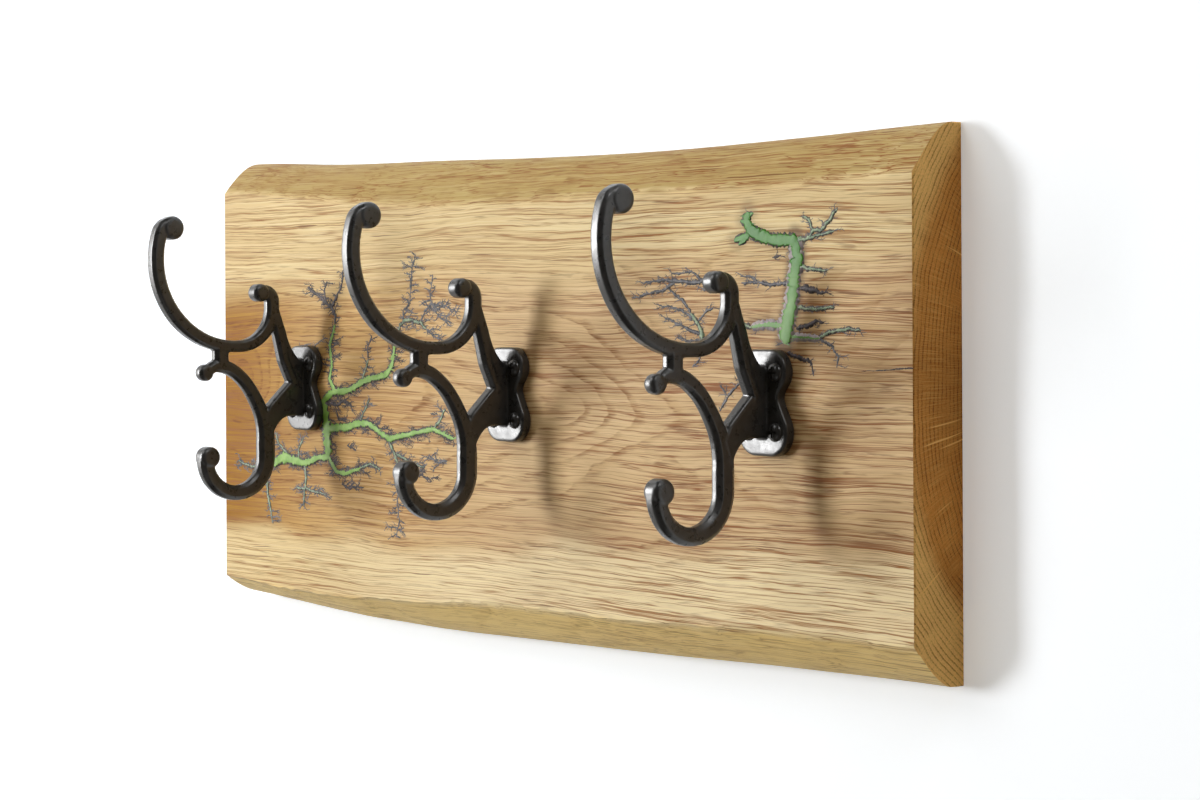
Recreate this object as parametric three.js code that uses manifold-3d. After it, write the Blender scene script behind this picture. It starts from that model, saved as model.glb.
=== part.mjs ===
// Wall coat rack: a live-edge oak board with a resin-filled burn figure and three cast double hooks.
// Sizes are in millimetres. X runs along the board, Z is up, and the board's face looks along -Y.
// The origin is on the wall, behind the middle of the board.

import * as THREE from 'three';
import { mergeVertices } from 'three/addons/utils/BufferGeometryUtils.js';
import Module from 'manifold-3d';

const wasm = await Module();
wasm.setup();

// Clearances
const seatGap = 0.3;
const shankClearance = 0.35;
const cutOverrun = 1;

// Board
const boardLength = 600;
const boardThickness = 32;
const waneDepth = 26;
const backRound = 2;
const boardSteps = 24;
const waneSteps = 5;

// Heights of the live edges above the board's middle, at equal steps from the left end to the right
const faceTopLine = [121, 113.5, 105, 102.5, 103.5, 102, 105];
const crestTopLine = [140.5, 135, 132, 128.5, 126.5, 127, 128.5];
const faceBottomLine = [-120, -122.5, -119.5, -114, -112.5, -108.5, -107];
const crestBottomLine = [-131.5, -136, -137, -135, -132.5, -129, -127];

// Places of the hooks along the board
const hookPitch = 204;
const middleHookX = 2;

// Hook plate, with two lobes above its waist and two below
const plateThickness = 5.3;
const plateChamfer = 1;
const plateTop = 25.4;
const plateBottom = 25.2;
const waistHeight = 2.5;
const waistHalfWidth = 10.4;
const upperLobeHalfWidth = 16.2;
const upperLobeRadius = 10.7;
const lowerLobeHalfWidth = 17;
const lowerLobeRadius = 11.3;
const lobeSteps = 7;

// Hook scrolls: reach is measured from the hook's back, height from the middle of its plate
const armReach = 51.9;
const armHeight = 75.9;
const armRadius = 50.4;
const armTopAngle = 18;
const tipBendRadius = 7;
const cradleReach = 48.2;
const cradleRadius = 23;
const curlRise = 3;
const curlBendRadius = 6;
const lowerCurveReach = 50.2;
const lowerCurveHeight = -40.2;
const lowerCurveRadius = 20.4;

// Hook bars: depth is measured in the plane of the scrolls, width across it
const barChamfer = 1.7;
const armDepth = 8.2;
const armWidth = 8.4;
const cradleDepth = 6.8;
const cradleWidth = 7.4;
const curlDepth = 8.6;
const curlWidth = 6.8;
const lowerBarWidth = 7;
const lowerBowlDepth = 8.8;
const lowerTipDepth = 9;
const lowerTipWidth = 9;
const connectorDepth = 9.6;
const connectorReach = 60.3;
const strutDepth = 6.5;
const strutWidth = 8.4;
const webWidth = 7.6;
const webChamfer = 1.5;
const webTop = 17.5;
const webBottom = -16.5;

// The sweep past the plate as reach, height and depth, from the spur knob to the lower curve
const sweepLine = [
  [70.8, 10.2, 6], [67, 13.5, 6.5], [61, 14, 7.8], [54.8, 12, 7.8], [49.6, 8.7, 7.8], [44.4, 4, 7.8],
  [39.8, -2.2, 7.8], [35.5, -9.2, 8.2], [31.5, -18.5, 9.8], [29.7, -29, 11.2],
];

// The strut from the plate to the cradle's wall side, as reach and height
const strutLine = [[25.2, 37], [17.5, 17], [10.8, 2]];

// Knobs: each ends a scroll, and a shift moves it off the end of its bar
const knobRound = 2;
const tipKnobRadius = 6.9;
const tipKnobWidth = 9.6;
const tipKnobShift = [0.5, -2];
const curlKnobRadius = 5.3;
const curlKnobWidth = 10;
const curlKnobShift = [1.8, -0.4];
const spurKnobRadius = 4.9;
const spurKnobWidth = 7.6;
const lowerKnobRadius = 6.3;
const lowerKnobWidth = 10.2;
const lowerKnobShift = [-1.7, 1];
const knobSides = 16;

// Hook screws
const screwOffset = 9.3;
const upperScrewHeight = 14.4;
const lowerScrewHeight = -13.6;
const headRadius = 4.5;
const headHeight = 2.6;
const headRim = 0.65;
const screwRadius = 2.1;
const screwLength = 25;
const screwPoint = 5;
const screwSides = 10;

// Resin inlay
const resinDepth = 2.4;

// Keyhole hangers, let into the back so that two wall screws carry the rack
const hangerSpacing = 400;
const hangerHeight = 68;
const hangerLength = 54;
const hangerWidth = 18;
const hangerThickness = 2;
const keyholeEntryRadius = 5.5;
const keyholeSlotWidth = 5.4;
const keyholeSlotRise = 13;
const keyholeCavityDepth = 10;
const keyholeCavityMargin = 1;
const hangerScrewInset = 5.5;
const hangerScrewHeadRadius = 3.1;
const hangerScrewHeadDepth = 1.7;
const hangerScrewRadius = 1.4;
const hangerScrewLength = 14;
const hangerScrewPoint = 3;

// Materials
const oak = new THREE.MeshStandardMaterial({ color: 0xd6b077, roughness: 0.6, metalness: 0 });
const resin = new THREE.MeshStandardMaterial({ color: 0x6fa552, roughness: 0.25, metalness: 0 });
const iron = new THREE.MeshStandardMaterial({ color: 0x1b1917, roughness: 0.35, metalness: 0.6 });
const blackSteel = new THREE.MeshStandardMaterial({ color: 0x121212, roughness: 0.4, metalness: 0.8 });
const zincSteel = new THREE.MeshStandardMaterial({ color: 0xa9adb0, roughness: 0.4, metalness: 0.9 });

const toRadians = THREE.MathUtils.degToRad;
const lerp = THREE.MathUtils.lerp;

// A closed skin through rings of equally many points, with a fan over each end
function loft(rings) {
  const sides = rings[0].length;
  const points = rings.flat();
  const index = [];
  for (let ring = 0; ring + 1 < rings.length; ring++) {
    for (let i = 0; i < sides; i++) {
      const a = ring * sides + i;
      const b = ring * sides + ((i + 1) % sides);
      index.push(a, b, b + sides, a, b + sides, a + sides);
    }
  }
  const capEnd = (first, flip, centre) => {
    points.push(centre);
    for (let i = 0; i < sides; i++) {
      const a = first + i;
      const b = first + ((i + 1) % sides);
      index.push(points.length - 1, flip ? b : a, flip ? a : b);
    }
  };
  capEnd(0, true, middleOf(rings[0]));
  capEnd((rings.length - 1) * sides, false, middleOf(rings.at(-1)));
  const geometry = new THREE.BufferGeometry().setFromPoints(points);
  geometry.setIndex(index);
  return geometry;
}

function middleOf(ring) {
  const middle = new THREE.Vector3();
  for (const point of ring) middle.add(point);
  return middle.divideScalar(ring.length);
}

// Three geometry to solid, and back
function solid(geometry) {
  const bare = geometry.clone();
  bare.deleteAttribute('normal');
  bare.deleteAttribute('uv');
  const merged = mergeVertices(bare, 1e-3);
  return new wasm.Manifold(
    new wasm.Mesh({
      numProp: 3,
      vertProperties: new Float32Array(merged.attributes.position.array),
      triVerts: new Uint32Array(merged.index.array),
    }),
  );
}

function geometryOf(body) {
  const mesh = body.getMesh();
  const geometry = new THREE.BufferGeometry();
  geometry.setAttribute('position', new THREE.BufferAttribute(mesh.vertProperties, 3));
  geometry.setIndex(new THREE.BufferAttribute(mesh.triVerts, 1));
  geometry.computeVertexNormals();
  return geometry;
}

const union = (solids) => solids.reduce((sum, next) => sum.add(next));

// Turns an outline drawn in X and Y to stand in X and Z, with its extrusion towards -Y
const standUp = (geometry) => geometry.rotateX(Math.PI / 2);

// A revolved piece whose profile runs from its lowest point on the axis to its highest
function revolve(profile, sides) {
  const points = profile.map(([radius, height]) => new THREE.Vector2(radius, height));
  return new THREE.LatheGeometry(points, sides);
}

// Height of a live edge at a share of the board's length
function lineHeight(line, share) {
  const knots = line.map((height, i) => new THREE.Vector2(i / (line.length - 1), height));
  return new THREE.SplineCurve(knots).getPoint(share).y;
}

// The board's section: a square back, and a face between two slopes of live edge
function boardSection(share) {
  const x = (share - 0.5) * boardLength;
  const edge = (face, crest) => {
    const points = [];
    for (let step = 0; step <= waneSteps; step++) {
      const along = step / waneSteps;
      const rise = Math.sin((along * Math.PI) / 2);
      points.push(new THREE.Vector3(x, waneDepth * along - boardThickness, lerp(face, crest, rise)));
    }
    const inward = Math.sign(face - crest) * backRound;
    points.push(new THREE.Vector3(x, -backRound, crest));
    points.push(new THREE.Vector3(x, 0, crest + inward));
    return points;
  };
  const top = edge(lineHeight(faceTopLine, share), lineHeight(crestTopLine, share));
  const bottom = edge(lineHeight(faceBottomLine, share), lineHeight(crestBottomLine, share));
  return [...bottom, ...top.reverse()];
}

function boardBlank() {
  const sections = [];
  for (let step = 0; step <= boardSteps; step++) sections.push(boardSection(step / boardSteps));
  return solid(loft(sections));
}

// The burn figure's main channels, each a run of [x, z, width] on the board's face
const leftFigure = [
  [[-186, -6, 4], [-183.5, -14, 5.5], [-182.5, -22, 6.5], [-181.5, -30, 6.5], [-180, -41, 5]],
  [[-186, -7.5, 4.5], [-176, -2.5, 3.5], [-158, -0.5, 3], [-138, 6, 3], [-118, 9, 3], [-112.5, 15, 2.5],
    [-110, 25, 2]],
  [[-173, -1.5, 3], [-179, 6, 2.5], [-176, 13, 2.4], [-178, 26, 2.4], [-172, 38, 1.6]],
  [[-182, -23.5, 5], [-160, -22.5, 3.5], [-146, -19.5, 3.5], [-137, -20, 3.2], [-116, -28, 3],
    [-96, -24.5, 2.4], [-72, -21, 2.2], [-52, -26, 1.4]],
  [[-180, -41, 4], [-190, -41.5, 3], [-208, -45.5, 3.5], [-224, -43.5, 5.5], [-233, -43.5, 6.5],
    [-243, -48, 3]],
  [[-180, -41, 4], [-172, -49, 2.5], [-162, -50, 2.2], [-146, -46, 1.4]],
];
const rightFigure = [
  [[191, 90, 4], [192, 83, 5], [199, 79.5, 5.5], [208, 77, 5], [218, 77, 5], [225, 75.5, 6]],
  [[181, 77.5, 2.5], [192, 80, 4]],
  [[223.5, 77, 5.5], [225, 68, 6], [222, 56, 5.5], [221, 46, 5.5], [218, 37, 7], [216, 28, 4]],
  [[218, 36, 3], [205, 37, 2], [193, 36, 1.4]],
  [[218, 31, 3], [228, 31, 1.6], [240, 30.5, 1.4]],
];

// A channel as a bar of even depth behind the face, grown on every side by a clearance
function channel(run, grow, front, back) {
  const rings = run.map(([x, z, width], i) => {
    const before = run[Math.max(i - 1, 0)];
    const after = run[Math.min(i + 1, run.length - 1)];
    const along = new THREE.Vector2(after[0] - before[0], after[1] - before[1]).normalize();
    const end = i === 0 ? -1 : i === run.length - 1 ? 1 : 0;
    const half = width / 2 + grow;
    const corner = (side, y) =>
      new THREE.Vector3(
        x + along.x * end * grow - along.y * side * half,
        y,
        z + along.y * end * grow + along.x * side * half,
      );
    return [corner(-1, back), corner(1, back), corner(1, front), corner(-1, front)];
  });
  return solid(loft(rings));
}

function inlay(figure) {
  const front = -boardThickness;
  return union(figure.map((run) => channel(run, 0, front, front + resinDepth)));
}

function inlayPocket(figure) {
  const front = -boardThickness - cutOverrun;
  const floor = resinDepth + seatGap - boardThickness;
  return union(figure.map((run) => channel(run, seatGap, front, floor)));
}

// Stations of a bar along an arc of a scroll, from one section to the next
function arc(reach, height, radius, fromAngle, toAngle, steps, from, to) {
  const stations = [];
  for (let step = 0; step <= steps; step++) {
    const share = step / steps;
    const angle = toRadians(lerp(fromAngle, toAngle, share));
    stations.push({
      reach: reach + radius * Math.cos(angle),
      height: height + radius * Math.sin(angle),
      depth: lerp(from.depth, to.depth, share),
      width: lerp(from.width, to.width, share),
    });
  }
  return stations;
}

// A chamfered bar of cast iron through its stations, in the plane of the scrolls
function bar(stations) {
  const rings = stations.map((station, i) => {
    const before = stations[Math.max(i - 1, 0)];
    const after = stations[Math.min(i + 1, stations.length - 1)];
    const along = new THREE.Vector2(after.reach - before.reach, after.height - before.height).normalize();
    const depth = station.depth / 2;
    const width = station.width / 2;
    const corners = [
      [depth - barChamfer, width],
      [-(depth - barChamfer), width],
      [-depth, width - barChamfer],
      [-depth, -(width - barChamfer)],
      [-(depth - barChamfer), -width],
      [depth - barChamfer, -width],
      [depth, -(width - barChamfer)],
      [depth, width - barChamfer],
    ];
    return corners.map(
      ([out, across]) =>
        new THREE.Vector3(station.reach - along.y * out, station.height + along.x * out, across),
    );
  });
  return solid(loft(rings));
}

// A knob with rounded rims, turned about an axis across the scroll, near the end of a bar
function knob(end, shift, radius, width) {
  const profile = [[0, -width / 2]];
  const roundSteps = 3;
  for (const side of [-1, 1]) {
    for (let step = 0; step <= roundSteps; step++) {
      const share = side < 0 ? step / roundSteps : 1 - step / roundSteps;
      const angle = (share * Math.PI) / 2;
      profile.push([
        radius - knobRound * (1 - Math.sin(angle)),
        side * (width / 2 - knobRound * (1 - Math.cos(angle))),
      ]);
    }
  }
  profile.push([0, width / 2]);
  const geometry = revolve(profile, knobSides).rotateX(Math.PI / 2);
  return solid(geometry.translate(end.reach + shift[0], end.height + shift[1], 0));
}

// Sections that the bars pass through
const armSection = { depth: armDepth, width: armWidth };
const cradleSection = { depth: cradleDepth, width: cradleWidth };
const curlSection = { depth: curlDepth, width: curlWidth };
const shankSection = { depth: sweepLine.at(-1)[2], width: lowerBarWidth };
const bowlSection = { depth: lowerBowlDepth, width: lowerBarWidth };
const lowerTipSection = { depth: lowerTipDepth, width: lowerTipWidth };

// The upper scroll: knob, big arm, cradle for the coat, and the curl on the wall side
function upperScroll() {
  const topAngle = toRadians(armTopAngle);
  const bendReach = armReach + (armRadius - tipBendRadius) * Math.cos(topAngle);
  const bendHeight = armHeight + (armRadius - tipBendRadius) * Math.sin(topAngle);
  const cradleHeight = armHeight - armRadius + cradleRadius;
  const curlReach = cradleReach - cradleRadius + curlBendRadius;
  const curlHeight = cradleHeight + curlRise;
  const tipBend = arc(bendReach, bendHeight, tipBendRadius, 100, armTopAngle, 5, armSection, armSection);
  const arm = arc(armReach, armHeight, armRadius, armTopAngle, -45, 10, armSection, armSection);
  const armFoot = arc(armReach, armHeight, armRadius, -45, -90, 6, armSection, cradleSection);
  const cradle = arc(cradleReach, cradleHeight, cradleRadius, -90, -180, 8, cradleSection, curlSection);
  const curl = arc(curlReach, curlHeight, curlBendRadius, 180, 80, 5, curlSection, curlSection);
  return [
    bar([...tipBend, ...arm.slice(1), ...armFoot.slice(1), ...cradle, ...curl]),
    knob(tipBend[0], tipKnobShift, tipKnobRadius, tipKnobWidth),
    knob(curl.at(-1), curlKnobShift, curlKnobRadius, curlKnobWidth),
  ];
}

// The lower scroll: a spur knob, a sweep down past the plate, and the small hook with its knob
function lowerScroll() {
  const sweep = sweepLine.map(([reach, height, depth]) => ({ reach, height, depth, width: lowerBarWidth }));
  const lowerArc = (fromAngle, from, to) =>
    arc(lowerCurveReach, lowerCurveHeight, lowerCurveRadius, fromAngle, fromAngle + 90, 7, from, to);
  const wallSide = lowerArc(180, shankSection, bowlSection);
  const tipSide = lowerArc(270, bowlSection, lowerTipSection);
  return [
    bar([...sweep, ...wallSide, ...tipSide.slice(1)]),
    knob(sweep[0], [0, 0], spurKnobRadius, spurKnobWidth),
    knob(tipSide.at(-1), lowerKnobShift, lowerKnobRadius, lowerKnobWidth),
  ];
}

// The bars that tie the scrolls to each other and to the plate
function ties() {
  const shoulderHeight = sweepLine[2][1];
  const connector = [shoulderHeight, armHeight - armRadius].map((height) => ({
    reach: connectorReach, height, depth: connectorDepth, width: lowerBarWidth,
  }));
  const strut = strutLine.map(([reach, height]) => ({ reach, height, depth: strutDepth, width: strutWidth }));
  return [bar(connector), bar(strut)];
}

// The flat web between the struts and the plate
function web() {
  const outline = new THREE.Shape();
  outline.moveTo(plateThickness / 2, webTop);
  outline.lineTo(8, webTop);
  outline.quadraticCurveTo(14.5, 24, 16.5, 36);
  outline.lineTo(19.5, 46);
  outline.lineTo(24.5, 42);
  outline.lineTo(22, 28);
  outline.lineTo(14.5, 12);
  outline.lineTo(12.5, 6);
  outline.lineTo(14.4, 4.2);
  outline.lineTo(28.6, -9.6);
  outline.lineTo(32.5, -17);
  outline.lineTo(27.5, -30);
  outline.quadraticCurveTo(22.5, webBottom, 14.5, webBottom);
  outline.lineTo(plateThickness / 2, webBottom);
  const geometry = new THREE.ExtrudeGeometry(outline, {
    depth: webWidth - 2 * webChamfer,
    bevelThickness: webChamfer,
    bevelSize: webChamfer,
    bevelOffset: -webChamfer,
    bevelSegments: 1,
    curveSegments: 6,
  });
  return solid(geometry.translate(0, 0, webChamfer - webWidth / 2));
}

// The plate's outline at a level of its thickness, drawn in by an inset
function plateRing(level, inset) {
  const half = [];
  const lobe = (across, height, radius, fromAngle, toAngle) => {
    for (let step = 0; step <= lobeSteps; step++) {
      const angle = toRadians(lerp(fromAngle, toAngle, step / lobeSteps));
      half.push([across + (radius - inset) * Math.cos(angle), height + (radius - inset) * Math.sin(angle)]);
    }
  };
  lobe(upperLobeHalfWidth - upperLobeRadius, plateTop - upperLobeRadius, upperLobeRadius, 90, -32);
  half.push([waistHalfWidth - inset, waistHeight]);
  lobe(lowerLobeHalfWidth - lowerLobeRadius, lowerLobeRadius - plateBottom, lowerLobeRadius, 28, -90);
  const mirrored = half.map(([across, height]) => [-across, height]).reverse();
  return [...half, ...mirrored].map(([across, height]) => new THREE.Vector3(level, height, across));
}

function plate() {
  return solid(
    loft([
      plateRing(0, 0),
      plateRing(plateThickness - plateChamfer, 0),
      plateRing(plateThickness, plateChamfer),
    ]),
  );
}

// Places of the screws on a hook's plate
const screwPlaces = [];
for (const height of [upperScrewHeight, lowerScrewHeight]) {
  for (const side of [-1, 1]) screwPlaces.push({ across: side * screwOffset, height });
}

// A round bar that runs along the reach, from one reach to another
function reachPin(place, radius, fromReach, toReach) {
  const length = toReach - fromReach;
  const geometry = new THREE.CylinderGeometry(radius, radius, length, screwSides).rotateZ(Math.PI / 2);
  return solid(geometry.translate((fromReach + toReach) / 2, place.height, place.across));
}

// The whole hook, in reach, height and width, then turned to stand out of the board
const scrollToBoard = new THREE.Matrix4().makeBasis(
  new THREE.Vector3(0, -1, 0),
  new THREE.Vector3(0, 0, 1),
  new THREE.Vector3(-1, 0, 0),
);

function hook() {
  const cast = union([plate(), web(), ...ties(), ...upperScroll(), ...lowerScroll()]);
  const holes = screwPlaces.map((place) =>
    reachPin(place, screwRadius + shankClearance, -cutOverrun, plateThickness + cutOverrun),
  );
  return geometryOf(cast.subtract(union(holes))).applyMatrix4(scrollToBoard);
}

// A screw along its own axis: head above zero, shank and point below
function roundHeadScrew() {
  const profile = [
    [0, -screwLength],
    [screwRadius, screwPoint - screwLength],
    [screwRadius, 0],
    [headRadius, 0],
  ];
  const domeSteps = 3;
  for (let step = 0; step < domeSteps; step++) {
    const angle = (step / domeSteps) * (Math.PI / 2);
    profile.push([headRadius * Math.cos(angle), headRim + (headHeight - headRim) * Math.sin(angle)]);
  }
  profile.push([0, headHeight]);
  return revolve(profile, screwSides);
}

function flatHeadScrew() {
  return revolve(
    [
      [0, -hangerScrewLength],
      [hangerScrewRadius, hangerScrewPoint - hangerScrewLength],
      [hangerScrewRadius, -hangerScrewHeadDepth],
      [hangerScrewHeadRadius, 0],
      [0, 0],
    ],
    screwSides,
  );
}

// Keyhole hanger: a steel strap with a hole for the wall screw's head and a slot for its shank
const hangerScrewRise = hangerLength / 2 - hangerScrewInset;
const keyholeEntryHeight = -keyholeSlotRise / 2;

function strapOutline(length, width) {
  const radius = width / 2;
  const outline = new THREE.Shape();
  outline.absarc(0, length / 2 - radius, radius, 0, Math.PI, false);
  outline.absarc(0, radius - length / 2, radius, Math.PI, 2 * Math.PI, false);
  return outline;
}

function keyholeOutline() {
  const slotHalf = keyholeSlotWidth / 2;
  const meet = Math.acos(slotHalf / keyholeEntryRadius);
  const outline = new THREE.Shape();
  outline.absarc(0, keyholeEntryHeight, keyholeEntryRadius, Math.PI - meet, 2 * Math.PI + meet, false);
  outline.absarc(0, keyholeEntryHeight + keyholeSlotRise, slotHalf, 0, Math.PI, false);
  return outline;
}

const extrudeStanding = (outline, depth) =>
  standUp(new THREE.ExtrudeGeometry(outline, { depth, bevelEnabled: false, curveSegments: 8 }));

function hangerScrewHole(height, radius, headRadiusWithGap) {
  const profile = [
    [0, -hangerScrewLength - seatGap],
    [radius, -hangerScrewLength - seatGap],
    [radius, -hangerScrewHeadDepth],
    [headRadiusWithGap, 0],
    [headRadiusWithGap, cutOverrun],
    [0, cutOverrun],
  ];
  return solid(revolve(profile, screwSides).translate(0, 0, height));
}

function hanger() {
  const strap = solid(extrudeStanding(strapOutline(hangerLength, hangerWidth), hangerThickness));
  const keyhole = solid(
    extrudeStanding(keyholeOutline(), hangerThickness + 2 * cutOverrun).translate(0, cutOverrun, 0),
  );
  const holes = [-1, 1].map((side) =>
    hangerScrewHole(side * hangerScrewRise, hangerScrewRadius + seatGap, hangerScrewHeadRadius + seatGap),
  );
  return geometryOf(strap.subtract(keyhole).subtract(union(holes)));
}

// The recess that a hanger lies in, with the hollow that the wall screw's head moves in
function hangerRecess() {
  const recessDepth = hangerThickness + seatGap;
  const bed = extrudeStanding(
    strapOutline(hangerLength + 2 * seatGap, hangerWidth + 2 * seatGap),
    recessDepth + cutOverrun,
  ).translate(0, cutOverrun, 0);
  const hollowWidth = 2 * (keyholeEntryRadius + keyholeCavityMargin);
  const hollow = extrudeStanding(
    strapOutline(keyholeSlotRise + hollowWidth, hollowWidth),
    keyholeCavityDepth,
  ).translate(0, -hangerThickness, 0);
  const pilots = [-1, 1].map((side) =>
    hangerScrewHole(side * hangerScrewRise, hangerScrewRadius + seatGap, hangerScrewRadius + seatGap),
  );
  return union([solid(bed), solid(hollow), ...pilots]);
}

// Assembly
const rack = new THREE.Group();
const hookPlaces = { left: -1, middle: 0, right: 1 };
const hookX = (side) => middleHookX + side * hookPitch;
const hangerPlaces = { left: -1, right: 1 };
const hangerX = (side) => (side * hangerSpacing) / 2;

function addMesh(parent, name, geometry, material) {
  const mesh = new THREE.Mesh(geometry, material);
  mesh.name = name;
  parent.add(mesh);
  return mesh;
}

// Pilot bores of the hook screws, drilled through the face
function pilotBores() {
  const bores = [];
  const depth = screwLength - plateThickness;
  for (const side of Object.values(hookPlaces)) {
    for (const place of screwPlaces) {
      const bore = new THREE.CylinderGeometry(
        screwRadius + shankClearance, screwRadius + shankClearance, depth + cutOverrun, screwSides,
      );
      const middle = (depth - cutOverrun) / 2 - boardThickness;
      bores.push(solid(bore.translate(hookX(side) + place.across, middle, place.height)));
    }
  }
  return union(bores);
}

const bores = pilotBores();
const recesses = union(
  Object.values(hangerPlaces).map((side) => hangerRecess().translate([hangerX(side), 0, hangerHeight])),
);
const pockets = union([inlayPocket(leftFigure), inlayPocket(rightFigure)]);
const board = boardBlank().subtract(pockets).subtract(bores).subtract(recesses);
addMesh(rack, 'board', geometryOf(board), oak);
addMesh(rack, 'inlay_left', geometryOf(inlay(leftFigure).subtract(bores)), resin);
addMesh(rack, 'inlay_right', geometryOf(inlay(rightFigure).subtract(bores)), resin);

const hookGeometry = hook();
const hookScrewGeometry = roundHeadScrew().rotateX(Math.PI);
for (const [name, side] of Object.entries(hookPlaces)) {
  const group = new THREE.Group();
  group.position.set(hookX(side), -boardThickness - seatGap, 0);
  addMesh(group, `hook_${name}`, hookGeometry, iron);
  screwPlaces.forEach((place, i) => {
    const screw = addMesh(group, `hook_${name}_screw_${i + 1}`, hookScrewGeometry, blackSteel);
    screw.position.set(place.across, -plateThickness - seatGap, place.height);
  });
  rack.add(group);
}

const hangerGeometry = hanger();
const hangerScrewGeometry = flatHeadScrew();
for (const [name, side] of Object.entries(hangerPlaces)) {
  const group = new THREE.Group();
  group.position.set(hangerX(side), 0, hangerHeight);
  addMesh(group, `hanger_${name}`, hangerGeometry, zincSteel);
  for (const [end, direction] of [['upper', 1], ['lower', -1]]) {
    const screw = addMesh(group, `hanger_${name}_screw_${end}`, hangerScrewGeometry, zincSteel);
    screw.position.set(0, 0, direction * hangerScrewRise);
  }
  rack.add(group);
}

export default rack;
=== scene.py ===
# %% [markdown]
# A wall coat rack in Blender: a live-edge oak board, a lightning-like burn figure filled with green
# resin, and three black cast hooks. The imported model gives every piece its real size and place, in
# metres: X runs along the board, Y goes into the wall, and Z is up. This file dresses it.

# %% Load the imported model
import functools
import math
from types import SimpleNamespace

import bmesh
import bpy
import numpy as np
from mathutils import Matrix, Vector


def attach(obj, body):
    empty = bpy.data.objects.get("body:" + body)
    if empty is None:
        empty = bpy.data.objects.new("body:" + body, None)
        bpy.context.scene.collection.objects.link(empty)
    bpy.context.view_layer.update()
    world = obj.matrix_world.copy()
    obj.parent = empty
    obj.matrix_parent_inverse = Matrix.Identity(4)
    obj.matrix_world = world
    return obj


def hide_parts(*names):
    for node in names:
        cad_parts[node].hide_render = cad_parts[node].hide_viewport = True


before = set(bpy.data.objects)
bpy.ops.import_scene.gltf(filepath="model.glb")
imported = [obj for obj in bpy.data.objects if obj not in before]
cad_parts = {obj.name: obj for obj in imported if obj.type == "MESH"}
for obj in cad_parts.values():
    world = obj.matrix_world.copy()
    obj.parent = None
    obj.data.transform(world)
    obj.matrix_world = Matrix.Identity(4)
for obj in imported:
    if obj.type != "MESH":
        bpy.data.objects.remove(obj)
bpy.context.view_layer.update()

# %% [markdown]
# The photograph was taken from the right and level with the hooks. The camera stands where the board's
# edges say it stood, with a long lens. Its axis meets the picture above the middle, which a small
# vertical shift stands for, and the picture leans by a third of a degree.

# %% The camera
def new_object(name, data):
    """A new object in the scene, at the origin."""
    made = bpy.data.objects.new(name, data)
    bpy.context.scene.collection.objects.link(made)
    return made


camera_data = bpy.data.cameras.new("camera")
camera_data.lens = 75
camera_data.sensor_width = 36
camera_data.shift_y = -0.065
camera = new_object("camera", camera_data)
turn = Matrix.Rotation(math.radians(51.13), 4, "Z") @ Matrix.Rotation(math.radians(90), 4, "X")
lean = Matrix.Rotation(-0.005, 4, "Z")
camera.matrix_world = Matrix.Translation((1.0785, -0.8387, 0.0387)) @ turn @ lean
bpy.context.scene.camera = camera
bpy.context.scene.view_settings.view_transform = "Standard"


# %% [markdown]
# Blender's operators act on whatever is selected, so each piece starts with nothing selected. The
# finished piece keeps its place in its mesh, with its object at the origin.

# %% Selecting and finishing
def start_clean():
    if bpy.context.mode != "OBJECT":
        bpy.ops.object.mode_set(mode="OBJECT")
    bpy.ops.object.select_all(action="DESELECT")


def pick(piece):
    """Makes a piece the active one, and the only one selected."""
    start_clean()
    piece.select_set(True)
    bpy.context.view_layer.objects.active = piece


def edit_all(piece):
    """Opens a piece in edit mode with all of it selected."""
    pick(piece)
    bpy.ops.object.mode_set(mode="EDIT")
    bpy.ops.mesh.select_all(action="SELECT")


def turn_outwards():
    bpy.ops.mesh.select_all(action="SELECT")
    bpy.ops.mesh.normals_make_consistent(inside=False)


def select_where(test, kind="verts"):
    """In edit mode, selects only the vertices, edges or faces that pass a test."""
    mesh = bmesh.from_edit_mesh(bpy.context.object.data)
    bpy.ops.mesh.select_mode(type={"verts": "VERT", "edges": "EDGE", "faces": "FACE"}[kind])
    bpy.ops.mesh.select_all(action="DESELECT")
    chosen = 0
    for part in getattr(mesh, kind):
        if test(part):
            part.select_set(True)
            chosen += 1
    mesh.select_flush_mode()
    bmesh.update_edit_mesh(bpy.context.object.data)
    return chosen


def apply_place(piece):
    pick(piece)
    bpy.ops.object.transform_apply(location=True, rotation=True, scale=True)


def cylinder(vertices, radius, depth, location, turned):
    """A cylinder with its axis turned out of the upright by two angles in degrees."""
    start_clean()
    bpy.ops.mesh.primitive_cylinder_add(
        vertices=vertices, radius=radius, depth=depth, location=location,
        rotation=(math.radians(turned[0]), math.radians(turned[1]), 0),
    )
    piece = bpy.context.object
    apply_place(piece)
    return piece


def dress(piece, *materials):
    piece.data.materials.clear()
    for material in materials:
        piece.data.materials.append(material)


def apply_modifier(piece, kind, **settings):
    bpy.context.view_layer.objects.active = piece
    modifier = piece.modifiers.new(kind.lower(), kind)
    for name, value in settings.items():
        setattr(modifier, name, value)
    bpy.ops.object.modifier_apply(modifier=modifier.name)


def join_pieces(name, pieces):
    start_clean()
    for piece in pieces:
        piece.select_set(True)
    bpy.context.view_layer.objects.active = pieces[0]
    bpy.ops.object.join()
    pieces[0].name = name
    return pieces[0]


def copy_piece(piece, name, offset):
    """A copy with a mesh of its own, moved by an offset that goes into the mesh."""
    twin = piece.copy()
    twin.data = piece.data.copy()
    twin.name = name
    bpy.context.scene.collection.objects.link(twin)
    twin.data.transform(Matrix.Translation(offset))
    return twin


# %% [markdown]
# Materials are node trees. A Nodes object stands for one tree: each of its methods adds a node and gives
# back its output, so a pattern is written like a sum. All patterns read Object coordinates, so they sit
# in the piece like grain.

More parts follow.
